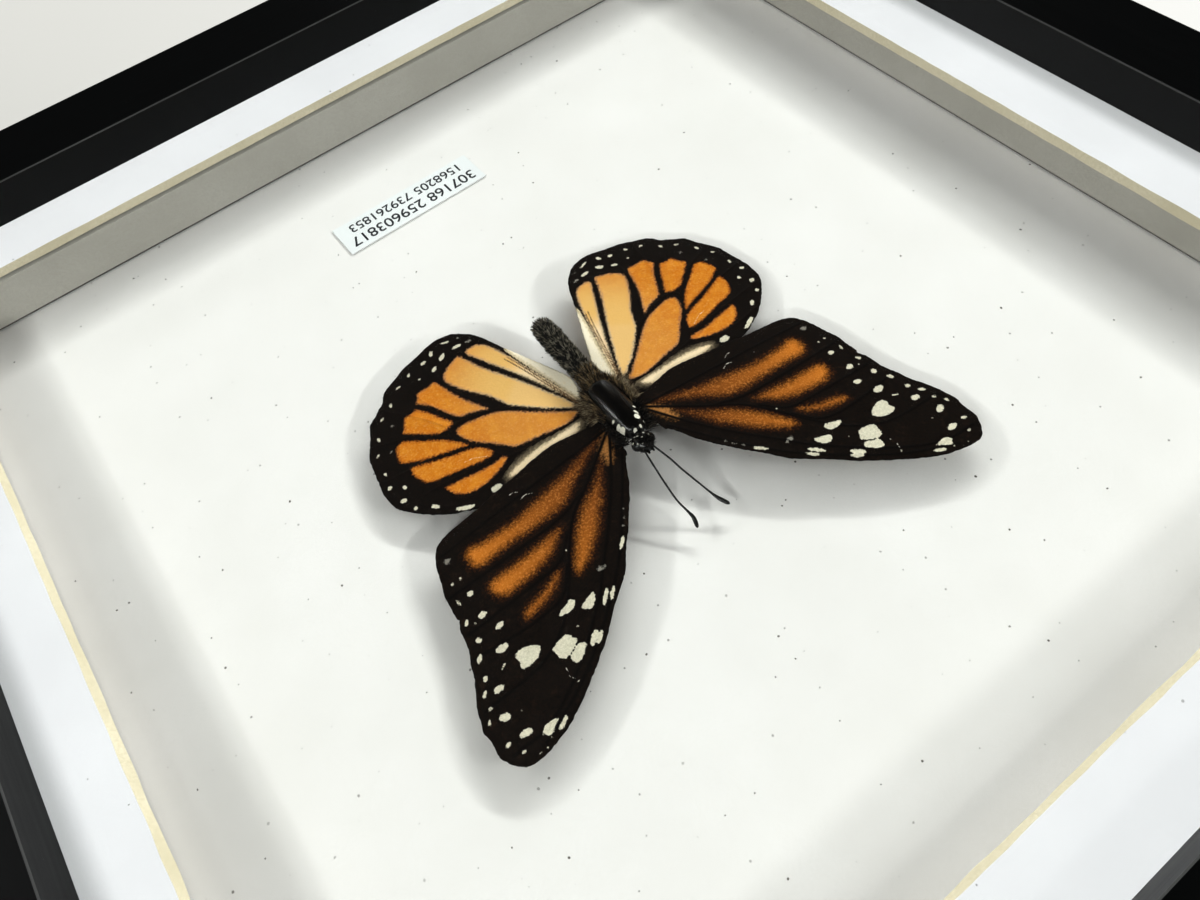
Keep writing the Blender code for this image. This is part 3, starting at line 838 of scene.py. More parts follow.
# %% Forewing warm patches
# Each patch: its ring, how bright it is at the inner end and at the outer end
FORE_PATCHES = [
    ([(5.5, 2.9), (8, 4.2), (10.5, 5.6), (13, 7.2), (15, 8.6), (17, 9.3), (20, 9.5), (28, 9.5),
      (31, 9.7), (32.5, 9.3), (33.2, 8.5), (33.1, 7.5), (33.3, 6.8), (32.6, 5.9), (31.5, 5.5),
      (30, 5.9), (27, 6.0), (24, 6.0), (21, 5.5), (18, 5.0), (15, 4.5), (12, 4.0), (9, 3.3),
      (6, 2.7)], 0.18, 1.0),
    ([(18.5, 11.7), (20, 13), (21.5, 14.3), (23.5, 15.2), (26, 15.7), (29, 16), (31, 16),
      (32.3, 15.3), (32.9, 14.2), (32.8, 13), (31.8, 12.3), (29, 12.1), (26, 12.0),
      (23, 11.7), (20.5, 11.5)], 0.5, 0.95),
    ([(22.7, 17.6), (24, 18.9), (25.5, 19.8), (27.5, 20.4), (29.5, 20.8), (30.9, 20.7),
      (30.9, 20.0), (30, 19.2), (28, 18.7), (26, 18.2), (24.3, 17.5), (23.2, 17.2)],
     0.55, 0.85),
    ([(8, 7.5), (9.5, 9.9), (11, 12.3), (12.5, 13.8), (14, 15.6), (16, 17.3), (18, 18.8),
      (19.5, 19.6), (21, 19.8), (21.1, 19.0), (20.6, 17.8), (19.3, 16), (17.8, 14),
      (16.2, 12.3), (14.5, 10.8), (12.5, 9.7), (10.5, 8.6), (9, 7.4), (7.5, 6.2),
      (6.8, 5.8)], 0.18, 0.8),
]
FORE_OCHRE = [(3.6, 2.9), (4.4, 4.6), (5.3, 6.6), (6.0, 7.4), (6.8, 7.3), (6.6, 6.0),
              (6.7, 5.2), (5.9, 4.2), (5.0, 3.3), (4.0, 2.5)]
print("warm patches:", len(FORE_PATCHES))

# %% Forewing white spots
# Ovals: across, along, half length, half width, angle
FORE_OVALS = [
    (34.7, 36.0, 1.1, .33, 30), (39.5, 34.05, 1.0, .5, -5), (42.4, 33.9, .5, .3, 20),
    (41.1, 36.0, .35, .18, 0), (40.8, 30.5, .85, .55, -20), (42.95, 29.9, .45, .22, 60),
    (41.8, 28.35, .4, .2, 15), (39.4, 26.7, .8, .5, 0), (41.45, 26.15, .6, .3, 40),
    (40.2, 24.3, .45, .35, 40), (37.1, 24.35, .35, .13, 30), (37.6, 24.6, .17, .17, 0),
    (23.9, 29.4, 1.05, .35, 38), (24.6, 29.0, 1.2, .5, 40), (18.7, 25.2, 1.1, .3, 41),
    (19.8, 25.0, 1.5, .33, 45), (13.0, 19.7, 1.15, .28, 42), (36.0, 22.1, 1.0, .6, 0),
    (39.4, 21.4, .65, .33, 45), (34.5, 19.0, .7, .45, 15), (38.1, 19.0, .48, .48, 0),
    (35.65, 16.05, .7, .5, 0), (38.15, 15.6, .55, .28, 55), (37.15, 16.5, .15, .15, 0),
    (35.4, 12.1, .5, .45, 0), (37.55, 12.2, .5, .22, 100), (35.4, 9.15, .22, .22, 0),
    (36.8, 9.1, .22, .22, 0), (25.5, 26.1, .12, .12, 0), (38.4, 31.1, .12, .12, 0),
    (38.2, 37.5, .13, .13, 0), (39.4, 37.4, .12, .12, 0), (37.0, 36.7, .1, .1, 0),
    (20.25, 15.45, .14, .14, 0), (29.9, 32.7, .15, .15, 0),
]
FORE_BLOTS = [
    [(34.9, 35.1), (35.6, 35.5), (36.3, 36.1), (37.1, 36.35), (37.4, 35.95), (37.8, 35.6),
     (37.5, 35.25), (37.0, 34.8), (36.2, 34.8)],
    [(31.6, 25.6), (32.4, 26.3), (33.6, 26.6), (34.8, 26.6), (35.3, 26.1), (35.0, 25.3),
     (35.2, 24.6), (34.8, 24.0), (34.0, 23.85), (32.9, 24.1), (31.9, 24.6), (31.5, 25.1)],
    [(26.6, 27.6), (27.4, 28.2), (28.6, 28.8), (29.5, 28.9), (30.1, 28.4), (30.2, 27.5),
     (30.3, 26.8), (29.6, 26.4), (28.4, 26.1), (27.4, 26.2), (27.0, 26.9)],
    [(26.0, 29.0), (26.8, 29.8), (27.7, 30.4), (28.5, 30.5), (28.9, 29.9), (28.8, 29.1),
     (27.9, 28.7), (27.1, 28.3), (26.4, 28.4)],
    [(20.8, 23.6), (21.3, 24.5), (22.2, 25.1), (23.0, 24.9), (23.5, 24.2), (22.7, 23.7),
     (21.6, 23.4), (21.0, 23.25)],
    [(23.7, 22.6), (24.2, 23.4), (25.2, 23.7), (26.3, 23.5), (26.8, 23.1), (26.0, 22.7),
     (24.9, 22.4), (24.2, 22.15)],
]
# Faint spots, where the pale scales are thin, and scratches that bare the membrane
FORE_FAINT = [(17.9, 21.0, .5, .35, 0), (17.2, 21.2, .2, .2, 0), (35.6, 5.4, .6, .4, 0),
              (10.4, 16.6, .3, .14, 45), (9.5, 15.4, .2, .1, 45), (11.3, 17.6, .2, .1, 45)]
FORE_SCRATCHES = [[(30.1, 32.1), (30.5, 31.2)], [(30.3, 30.6), (30.2, 30.0)],
                  [(19, 4.1), (20, 3.6), (21, 3.8)], [(20.7, 2.5), (21.3, 2.1), (22.1, 2.05)]]
print("white spots:", len(FORE_OVALS), "ovals,", len(FORE_BLOTS), "blots")

# %% [markdown]
# ### Hindwing drawing
# The hindwing is the other way round: a black net of veins over warm cells. Cells near the body
# are paler, so each cell carries a paleness from 0, full orange, to 1, nearly white.

# %% Hindwing outline
HIND_OUTLINE = [
    (3.3, -1), (2.6, -5), (2.0, -9.5), (2.2, -11.2), (2.9, -12.8), (3.8, -15), (5.0, -17.6),
    (6.2, -20.3), (7.2, -22.6), (8.0, -24.6), (8.7, -26.4), (9.6, -28.3), (10.6, -29.8),
    (11.8, -31.0), (13.2, -32.0), (14.8, -32.5), (16.5, -32.7), (18.5, -32.4), (20.2, -31.9),
    (22.0, -31.6), (23.6, -31.2), (25.2, -30.5), (27, -29.8), (28.3, -29.2), (29.2, -28.3),
    (29.9, -27.2), (31, -26.5), (32.2, -25.6), (33.5, -24.9), (34.1, -23.9), (34.7, -22.6),
    (35.6, -21.0), (36.4, -19.6), (36.9, -18.6), (37.1, -17.3), (37.4, -15.5), (37.7, -13.5),
    (38.0, -11.8), (37.9, -10), (37.7, -8.6), (37.2, -7.4), (36.4, -6.4), (35.2, -5.0),
    (33.8, -3.6), (32.2, -2.3), (30.5, -1.2), (28.8, -0.4), (27.2, 0.4), (23, 1.2), (16, 1.4),
    (9, 0.8), (3.3, -0.6),
]
print("hindwing:", len(HIND_OUTLINE), "outline points")

# %% Hindwing cells
HIND_CELLS = [
    ([(4.8, -4.1), (5.6, -3.5), (7.0, -3.2), (9.0, -3.4), (11.5, -4.0), (14, -4.5),
      (16.2, -5.0), (17.3, -6.0), (18.2, -7.0), (19.0, -8.0), (20.2, -9.2), (21.2, -10.2),
      (22.0, -11.4), (22.5, -12.6), (22.7, -13.6), (22.2, -14.2), (21, -14.4), (19.5, -14.1),
      (17.5, -13.6), (15.5, -12.8), (13.5, -11.4), (11.5, -9.6), (9.5, -7.9), (7.5, -6.2),
      (6.0, -5.0)], 0.22),
    ([(18.6, -4.2), (19.8, -3.5), (21.5, -2.9), (23.5, -2.5), (25.5, -2.5), (27.2, -2.9),
      (28.3, -3.8), (29.1, -5.0), (29.3, -6.1), (28, -5.9), (25.5, -5.5), (23, -5.0),
      (20.5, -4.8), (19.2, -4.9)], 0.12),
    ([(19.9, -6.6), (20.8, -6.3), (22.3, -6.4), (25, -7.0), (28, -7.8), (30, -8.2),
      (31.2, -8.8), (31.8, -9.8), (32.3, -11.2), (32.2, -12.4), (31.8, -12.8), (30.2, -12.2),
      (28, -11.4), (25.5, -10.5), (23, -9.8), (21.5, -9.0), (20.4, -7.9)], 0.05),
    ([(22.3, -10.3), (23.2, -10.7), (25, -11.3), (27.5, -12.1), (30, -13.0), (31.8, -14.0),
      (32.8, -14.7), (33.0, -15.6), (32.5, -17.0), (32.0, -17.9), (30.9, -18.2),
      (30.2, -17.9), (28.8, -16.8), (27, -15.4), (25.4, -14.2), (24.2, -13.0),
      (23.2, -11.8)], 0.05),
    ([(22.2, -16.0), (22.9, -15.5), (23.9, -15.35), (25.4, -15.7), (27, -16.9),
      (28.8, -18.5), (29.9, -19.6), (29.4, -20.2), (28.8, -21.3), (28.2, -22.1), (27, -22.0),
      (26.0, -22.3), (25.2, -21.4), (24.4, -20.2), (23.6, -18.6), (22.8, -17.2)], 0.12),
    ([(16.1, -14.2), (17.4, -14.9), (19.2, -15.6), (20.6, -16.0), (21.4, -17.0),
      (22.6, -19.3), (23.8, -21.5), (25.2, -23.2), (24.6, -24.0), (24.1, -24.9),
      (23.2, -25.0), (21.8, -25.0), (20.8, -25.2), (20.3, -24.5), (19.8, -22.8),
      (19.2, -20.8), (18.4, -18.8), (17.3, -16.6)], 0.3),
    ([(5.2, -5.2), (6.2, -6.0), (8.0, -7.4), (10, -9.3), (11.6, -11.0), (13.0, -12.6),
      (13.9, -14.6), (14.8, -16.6), (16.3, -18.6), (17.8, -21.0), (18.8, -23.0),
      (19.1, -24.0), (18.6, -25.2), (17.3, -26.2), (15.5, -26.9), (14.7, -27.1),
      (14.2, -26.3), (13.5, -24.5), (12.3, -21.8), (10.8, -19.0), (9.2, -16.0),
      (7.8, -13.2), (6.6, -10.6), (5.4, -8.2), (4.4, -5.6), (4.3, -4.9)], 0.62),
    ([(3.8, -5.5), (4.5, -7.5), (5.8, -10.5), (7.0, -13.5), (8.4, -16.5), (9.8, -19.5),
      (11.2, -22.2), (12.3, -24.5), (13.2, -26.4), (12.6, -27.2), (11.0, -27.0),
      (9.8, -26.2), (8.9, -24.5), (8.0, -22.0), (7.2, -19.5), (6.4, -16.5), (5.5, -13.5),
      (4.5, -10), (3.7, -7)], 0.72),
    ([(3.0, -5.4), (1.4, -8), (1.4, -11), (2.2, -14), (3.6, -17.2), (5.2, -20.4),
      (6.6, -22.3), (7.2, -22.2), (6.9, -20), (6.1, -17), (5.3, -14), (4.4, -10.5),
      (3.6, -7)], 1.0),
    ([(5.8, -2.2), (6.6, -1.2), (8.0, -0.4), (10, -0.1), (13, -0.2), (16, -0.3), (18.2, -0.5),
      (20.2, -1.0), (19, -1.8), (17, -2.2), (14, -2.5), (11, -2.4), (8.5, -2.4)], 0.86),
]
HIND_LINES = [[(3.6, -5), (5.2, -11), (6.8, -17), (8, -21)],
              [(3.9, -5), (5.6, -11), (7.3, -17), (8.6, -21)]]
print("cells:", len(HIND_CELLS))

# %% Hindwing white spots
HIND_OVALS = [
    (22.9, -0.7, .95, .6, 0), (28.6, -0.9, 1.65, .4, -27), (32.3, -4.2, .7, .35, -50),
    (35.0, -6.0, .38, .38, 0), (35.9, -8.4, .55, .4, -30), (34.65, -10.4, .35, .35, 0),
    (36.6, -11.9, .45, .35, 40), (36.0, -14.6, .42, .22, 90), (35.35, -18.5, .35, .2, 40),
    (33.75, -21.2, .5, .25, 85), (31.4, -24.4, .45, .2, 20), (28.9, -25.9, .5, .25, 70),
    (26.15, -28.3, .45, .2, -5), (23.4, -29.4, .4, .25, 50), (22.3, -27.3, .25, .2, 0),
    (19.3, -27.4, .65, .32, 35), (20.1, -29.8, .55, .3, 0), (16.9, -28.8, .8, .42, 30),
    (18.1, -30.7, .6, .35, 55), (13.7, -29.0, .95, .32, -8), (14.9, -31.1, .95, .2, -22),
]
HIND_FAINT = [(33.1, -17.8, .2, .2, 0), (30.7, -22.2, .25, .25, 0), (11.5, -28.6, .6, .2, 0),
              (12.6, -30.5, .2, .2, 0)]
HIND_SCRATCHES = [[(21, -6.6), (23, -7.8), (24.5, -8.1)]]
HIND_VEINS = [
    [(4, -3), (12, -3.3), (18, -4.2), (19.5, -6.0), (21.6, -9.3), (23.3, -12.4),
     (23.4, -14.7), (20.5, -15.2), (16, -13.7), (12.2, -11.3), (5, -4.7)],
    [(18, -4.2), (24, -1.9), (32, -2.8)], [(19.2, -5.5), (25, -6.2), (36, -7.6)],
    [(21.6, -9.6), (27, -11.7), (37, -13.4)], [(23.3, -12.4), (28, -17.4), (35.5, -20.6)],
    [(23.0, -14.9), (25.5, -19.5), (30.6, -26)], [(20.7, -15.4), (24.0, -22.6), (25, -29.8)],
    [(15.2, -13.4), (19.2, -22), (19.8, -31)], [(4.4, -4.9), (9, -16.2), (14, -27.6)],
]
print("white spots:", len(HIND_OVALS), "ovals;", len(HIND_VEINS), "veins")

# %% [markdown]
# ### Wing mesh
# A wing starts as a fine grid, 0.2 mm between vertices, finer than the smallest spot. Vertices
# outside the outline go, and the new border is pulled onto the outline. The measured depths are
# stored, and the veins stand up a little while the skin between them dips. The left wing is the
# right one mirrored, a little stretched and turned, as hand-set wings are.

# %% Grid trimmed to an outline
CELL = 0.2
RAGGED = 0.07  # how far the fringe strays from the drawn outline


def trimmed_grid(ring):
    """A flat bmesh grid that fills the ring, with its border on the ring."""
    low, high = ring.min(0) - CELL, ring.max(0) + CELL
    count = np.ceil((high - low) / CELL).astype(int)
    bm = bmesh.new()
    bmesh.ops.create_grid(bm, x_segments=int(count[0]), y_segments=int(count[1]), size=0.5)
    bmesh.ops.scale(bm, vec=(count[0] * CELL, count[1] * CELL, 1.0), verts=bm.verts)
    bmesh.ops.translate(bm, vec=(*(low + count * CELL / 2), 0.0), verts=bm.verts)
    centres = np.array([f.calc_center_median()[:2] for f in bm.faces])
    depth, _ = depth_in(centres, ring, reach=1.0)
    outside = [f for f, d in zip(bm.faces[:], depth) if d < 0.0]
    bmesh.ops.delete(bm, geom=outside, context="FACES")
    edge = [v for v in bm.verts if v.is_boundary]
    _, foot = depth_in(np.array([v.co[:2] for v in edge]), ring, reach=2.0)
    for v, (x, y) in zip(edge, foot):
        v.co.x, v.co.y = x, y
    return bm


def fringed(outline, seed):
    """The outline with the fine ragged fringe of scales that a wing's edge has."""
    ring = curve(outline, 6)
    rng = np.random.default_rng(seed)
    step = np.roll(ring, -1, 0) - np.roll(ring, 1, 0)
    out = np.stack([step[:, 1], -step[:, 0]], 1) / np.hypot(*step.T)[:, None]
    return ring + out * rng.uniform(-RAGGED, RAGGED, len(ring))[:, None]


print("wing grid, mm:", CELL, "with a fringe of", RAGGED)


# %% Depths of a wing's markings
def deepest(points, rings, reach=3.0):
    """The greatest depth over several rings, and which ring gives it."""
    depth, which = np.full(len(points), -reach), np.zeros(len(points), int)
    for i, ring in enumerate(rings):
        d, _ = depth_in(points, ring, reach)
        better = d > depth
        depth[better], which[better] = d[better], i
    return depth, which


def small_marks(points, ovals, blots, faint, scratches):
    """Depths in the white and the faint spots, and the distance to the nearest scratch."""
    white = [spot(*o) for o in ovals] + [curve(b, 3) for b in blots]
    return {"white": deepest(points, white, 1.0)[0],
            "faint": deepest(points, [spot(*o) for o in faint], 1.0)[0],
            "scratch": gap_to(points, [np.array(s, float) for s in scratches])}


def fore_marks(points):
    """Attributes of the forewing: depths in mm, and how much each patch glows, 0 to 1."""
    warm, which = deepest(points, [curve(ring, 3) for ring, _, _ in FORE_PATCHES])
    glow = np.zeros(len(points))
    for i, (ring, inner_end, outer_end) in enumerate(FORE_PATCHES):
        xs = [x for x, _ in ring]
        t = np.clip((points[:, 0] - min(xs)) / (max(xs) - min(xs)), 0, 1)
        glow[which == i] = (inner_end + (outer_end - inner_end) * t ** 2.1)[which == i]
    return {"warm": warm, "glow": glow,
            "ochre": depth_in(points, curve(FORE_OCHRE, 3), 3.0)[0],
            **small_marks(points, FORE_OVALS, FORE_BLOTS, FORE_FAINT, FORE_SCRATCHES)}


def hind_marks(points):
    """Attributes of the hindwing; here glow says how pale each cell is."""
    warm, which = deepest(points, [curve(ring, 3) for ring, _ in HIND_CELLS])
    # Each cell is palest near the body and warmer towards the margin
    far = np.clip((np.hypot(points[:, 0] - 3.0, points[:, 1] + 4.0) - 13.0) / 13.0, 0, 1)
    pale = np.array([p for _, p in HIND_CELLS])[which]
    pale = np.where(pale < 0.8, pale * (1.15 - 0.7 * far), pale)
    return {"warm": warm, "glow": pale,
            "ochre": gap_to(points, [curve(l, 4, False) for l in HIND_LINES]),
            **small_marks(points, HIND_OVALS, [], HIND_FAINT, HIND_SCRATCHES)}


print("stored on each wing:", *fore_marks(np.zeros((1, 2))))

# %% One wing
WING_SKIN, DROOP = 0.09, 0.05  # thickness in mm, and how far a wing falls per mm outwards
RIB, RIB_WIDTH, DIP, DIP_AT, WAVE = 0.07, 0.25, 0.05, 2.0, 0.05  # the relief of the skin, mm
SIDE_CHANGE = {  # pivot, matrix and shift that turn a right wing's plan into the left one's
    "forewing": ((26.2, 14.8), ((0.969, 0.025), (0.013, 1.006)), (-0.02, 0.335)),
    "hindwing": ((20.8, -15.1), ((0.978, 0.044), (-0.006, 0.965)), (-0.06, 0.287)),
}


def wing(kind, side, outline, veins, marks, top, mat, seed):
    """Makes one wing; side is right or left, and top the height of its upper face at x = 0."""
    ring = fringed(outline, seed)
    bm = trimmed_grid(ring)
    if side == "left":
        bmesh.ops.reverse_faces(bm, faces=bm.faces)
    mesh = bpy.data.meshes.new(f"{kind}_{side}")
    bm.to_mesh(mesh)
    bm.free()
    plan = np.array([v.co[:2] for v in mesh.vertices])
    vein = gap_to(plan, [curve(v, 4, False) for v in veins])
    for name, values in {**marks(plan), "vein": vein}.items():
        layer = mesh.attributes.new(name, "FLOAT", "POINT")
        layer.data.foreach_set("value", values.astype(np.float32))
    x, y = plan.T
    if side == "left":
        centre, change, shift = (np.array(v) for v in SIDE_CHANGE[kind])
        x, y = (centre + (plan - centre) @ change.T + shift).T
    ribs = RIB * np.exp(-(vein / RIB_WIDTH) ** 2) - DIP * np.clip(vein / DIP_AT, 0, 1)
    waves = WAVE * np.sin(x * 0.33 + seed) * np.sin(y * 0.27 + 1.3 * seed)
    z = top - DROOP * x + ribs + waves
    flip = -1.0 if side == "left" else 1.0
    mesh.vertices.foreach_set("co", to_metres(np.stack([flip * x, y, z], 1)).ravel())
    mesh.update()
    piece = place_mesh(f"scaled_{kind}_{side}", mesh, mat, [f"{kind}_{side}"],
                       180)
    skin = piece.modifiers.new("skin", "SOLIDIFY")
    skin.thickness = WING_SKIN * MM
    skin.offset = -1.0


print("a wing is", WING_SKIN, "mm thick and falls", DROOP, "mm per mm outwards")

# %% [markdown]
# ### Wing scales
# A butterfly's wing is a clear membrane tiled with dust-fine scales, about 0.1 mm each, in rows.
# They are matt with a faint silky sheen. Colours meet with a grainy border, since each scale is
# one colour, so every depth is shaken by fine noise before it is turned into a border.

# %% What both kinds of wing share
def scale_grain(tree):
    """Single-scale noise and softer mottling, as sockets."""
    where = add(tree, "TexCoord").outputs["Object"]
    noise = add(tree, "TexNoise", {"Vector": where, "Scale": per_mm(0.36), "Detail": 2.0,
                                   "Roughness": 0.75})
    fine = add(tree, "MapRange", {0: noise.outputs[0], 1: 0.3, 2: 0.7})
    mottle = add(tree, "TexNoise", {"Vector": where, "Scale": per_mm(1.6), "Detail": 4.0,
                                    "Roughness": 0.65})
    return fine.outputs[0], mottle.outputs[0]


def finish_wing(tree, shader, colour, fine, faint_most, membrane):
    """Last steps: faint and white spots, scratches, and the relief of scales and vein ribs."""
    colour = layered(
        tree, colour,
        (soft_share(tree, "faint", -0.1, 0.15, fine, 0.25, faint_most), "#cfc8bb"),
        (soft_share(tree, "white", -0.06, 0.06, fine, 0.12),
         layered(tree, "#c8c1ac", (fine, "#e5decb"))),
        (soft_share(tree, "scratch", 0.09, 0.05, fine, 0.04), membrane))
    relief = add(tree, "Math", {0: soft_share(tree, "vein", 0.3, 0.0), 1: fine},
                 operation="ADD")
    dress(tree, shader, colour, (fine, 0.55, 0.8), relief.outputs[0], 0.6, 0.04)


# %% Scales of the two kinds of wing
MATT_SCALES = {"IOR": 1.45, "Specular IOR Level": 0.15}


def forewing_scales():
    mat, tree, shader = new_finish("forewing scales", MATT_SCALES)
    fine, mottle = scale_grain(tree)
    glow = add(tree, "Attribute", attribute_name="glow").outputs["Fac"]
    ember = layered(tree, "#562c14", (glow, "#d08230"),
                    (soft_share(tree, fine, 0.45, 1.0, most=0.5), "#d99650"))
    colour = layered(
        tree, "#070504", (fine, "#1e150f"), (soft_share(tree, mottle, 0.55, 0.85), "#33241a"),
        (soft_share(tree, "warm", -1.0, 0.8, fine, 0.7), "#3c200f"),
        (soft_share(tree, "warm", -0.3, 1.6, fine, 0.5), ember),
        (soft_share(tree, "ochre", -0.7, 1.2, fine, 0.6), "#b5804a"),
        (soft_share(tree, "vein", 0.4, 0.1), "#0b0705"))
    finish_wing(tree, shader, colour, fine, 0.45, "#d8d2c6")
    return mat


def hindwing_scales():
    mat, tree, shader = new_finish("hindwing scales", MATT_SCALES)
    fine, mottle = scale_grain(tree)
    pale = add(tree, "Attribute", attribute_name="glow").outputs["Fac"]
    warm = layered(tree, "#cb7c20", (soft_share(tree, mottle, 0.35, 0.8), "#da9434"),
                   (soft_share(tree, pale, 0.08, 0.62), "#e3b873"),
                   (soft_share(tree, pale, 0.65, 1.0), "#faeed8"),
                   (soft_share(tree, fine, 0.5, 1.0, most=0.22), "#f3d093"))
    # The palest cells fade out over a broad border, and the others end crisply
    crisp = soft_share(tree, "warm", -0.18, 0.2, fine, 0.24)
    broad = soft_share(tree, "warm", -1.4, 0.2, fine, 0.4)
    inside = add(tree, "Mix", {0: soft_share(tree, pale, 0.8, 0.95), 2: crisp, 3: broad})
    rim = layered(tree, "#ab601c", (pale, "#d9c8a8"))
    cells = layered(tree, rim, (soft_share(tree, "warm", 0.0, 0.55, fine, 0.3), warm))
    colour = layered(tree, "#080605", (fine, "#1c140f"), (inside.outputs[0], cells),
                     (soft_share(tree, "ochre", 0.18, 0.04, fine, 0.05), "#6f5338"))
    finish_wing(tree, shader, colour, fine, 0.5, "#efe6d2")
    return mat


fore_mat, hind_mat = forewing_scales(), hindwing_scales()
# %% Four wings
FORE_TOP, HIND_TOP = 4.76, 4.11  # mm over the board
for side, seed in (("right", 2), ("left", 5)):
    wing("forewing", side, FORE_OUTLINE, FORE_VEINS, fore_marks, FORE_TOP, fore_mat, seed)
    wing("hindwing", side, HIND_OUTLINE, HIND_VEINS, hind_marks, HIND_TOP, hind_mat, seed + 1)

# %% [markdown]
# ### Body
# Thorax, abdomen and head are rings carried along the body and closed at both ends. The rings
# follow the same stations as the CAD solids, with a smooth curve between them.

# %% Loft along the body
THORAX = [(-5.6, 1.9, 1.6, 4.7), (-4.4, 2.5, 2.1, 4.8), (-1.5, 2.75, 2.35, 4.9),
          (1.5, 2.7, 2.4, 5.0), (4.0, 2.3, 2.15, 5.0), (5.6, 1.8, 1.7, 5.0),
          (6.3, 1.1, 1.0, 5.0)]
ABDOMEN = [(-5.9, 1.5, 1.4, 4.7), (-7.0, 1.6, 1.6, 4.7), (-10.0, 1.65, 1.7, 4.7),
           (-15.0, 1.8, 1.8, 4.6), (-19.0, 1.85, 1.75, 4.5), (-21.8, 1.6, 1.45, 4.4),
           (-22.8, 1.1, 0.95, 4.3), (-23.2, 0.5, 0.4, 4.3)]
HEAD = [(6.6, 1.2, 1.0, 4.9), (7.2, 1.65, 1.3, 4.9), (8.1, 1.75, 1.4, 4.9),
        (9.1, 1.35, 1.2, 4.9), (9.7, 0.8, 0.7, 4.9)]
HEAD_ASIDE = 0.3


def tube(bm, seats, sides):
    """Carries a unit circle through a list of matrices with extrude, and closes both ends."""
    ring = bmesh.ops.create_circle(bm, cap_ends=False, radius=1.0, segments=sides)["verts"]
    start = rim = list({e for v in ring for e in v.link_edges})
    bmesh.ops.transform(bm, matrix=seats[0], verts=ring)
    for before, seat in zip(seats, seats[1:]):
        made = bmesh.ops.extrude_edge_only(bm, edges=rim)["geom"]
        ring = [g for g in made if isinstance(g, bmesh.types.BMVert)]
        rim = [g for g in made if isinstance(g, bmesh.types.BMEdge)
               and all(v in ring for v in g.verts)]
        bmesh.ops.transform(bm, matrix=seat @ before.inverted(), verts=ring)
    bmesh.ops.holes_fill(bm, edges=start, sides=0)
    bmesh.ops.holes_fill(bm, edges=rim, sides=0)
    bmesh.ops.recalc_face_normals(bm, faces=bm.faces)


def loft(bm, stations, sides, steps, aside=0.0):
    """An oval tube along the body through smoothed stations."""
    upright = Matrix.Rotation(math.pi / 2, 4, "X")
    tube(bm, [Matrix.Translation((aside, along, axis))
              @ Matrix.Diagonal((wide, 1.0, high, 1.0)) @ upright
              for along, wide, high, axis in curve(stations, steps, False)], sides)


print("body from", ABDOMEN[-1][0], "to", HEAD[-1][0], "mm")

# %% [markdown]
# The thorax and head are hard black cuticle, smooth enough for a bright streak, with round tufts
# of white scales. The tufts are stored as a depth again.

# %% Black cuticle with white tufts
TUFTS = [(-1.2, 4.5, .5), (-1.5, 3.6, .28), (-1.75, 3.9, .2), (2.0, 4.8, .5), (2.1, 3.9, .35),
         (2.2, 6.2, .3), (0.4, 6.2, .34), (-0.75, 6.0, .25), (0.85, 7.2, .19), (2.0, 7.6, .2),
         (1.5, 8.3, .17), (0.4, 7.9, .17), (-0.35, 7.2, .18), (-0.9, 7.9, .14),
         (0.9, 8.8, .14), (-2.0, 2.6, .25), (2.2, 2.7, .25), (-1.9, 5.4, .22), (1.2, 6.9, .14)]


TUFTS_ABOVE = 4.8  # tufts show on the upper side only


def tuft_depth(bm):
    """Stores how deep each vertex, still in butterfly space, lies in a white tuft."""
    layer = bm.verts.layers.float.new("tuft")
    for v in bm.verts:
        v[layer] = max(r - math.hypot(v.co.x - x, v.co.y - y) for x, y, r in TUFTS)
        if v.co.z < TUFTS_ABOVE:
            v[layer] = -1.0


def black_cuticle(name, rough):
    """Chitin: black, smooth but finely pitted, so highlights stay small and broken."""
    mat, tree, shader = new_finish(name, {"IOR": 1.56, "Specular IOR Level": 0.4})
    where = add(tree, "TexCoord").outputs["Object"]
    pits = add(tree, "TexNoise", {"Vector": where, "Scale": per_mm(0.18),
                                  "Detail": 2.0}).outputs[0]
    cloud = add(tree, "TexNoise", {"Vector": where, "Scale": per_mm(0.9), "Detail": 3.0})
    white = soft_share(tree, "tuft", -0.04, 0.08, pits, 0.12)
    dress(tree, shader, layered(tree, "#040303", (cloud.outputs[0], "#0e0c0a"),
                                (white, "#e9e4d6")),
          (pits, rough - 0.08, rough + 0.12), pits, 0.4, 0.05)
    return mat


cuticle = black_cuticle("black cuticle", 0.15)


def place_part(name, bm, mat, node):
    """Sets a part of the insect on the board as a finished piece."""
    tuft_depth(bm)
    bmesh.ops.transform(bm, matrix=TO_BOARD, verts=bm.verts)
    place(name, bm, mat, [node], 60)


def make_thorax():
    bm = bmesh.new()
    loft(bm, THORAX, sides=48, steps=10)
    # The bare back plate: a slightly raised, narrower shield along the middle
    rear, front, rise = -4.6, 5.2, 2.5
    for v in bm.verts:
        if v.co.z > 5.0 and rear < v.co.y < front:
            ends = min(1.0, (v.co.y - rear) / rise, (front - v.co.y) / rise)
            v.co.z += 0.12 * ends * math.exp(-(v.co.x / 1.1) ** 2)
    place_part("cuticle_thorax", bm, cuticle, "thorax")


EYE_OUT, EYE_RADIUS, PALP_OUT, PALP, HEAD_Z = 1.15, 0.95, 0.42, 1.1, 4.9


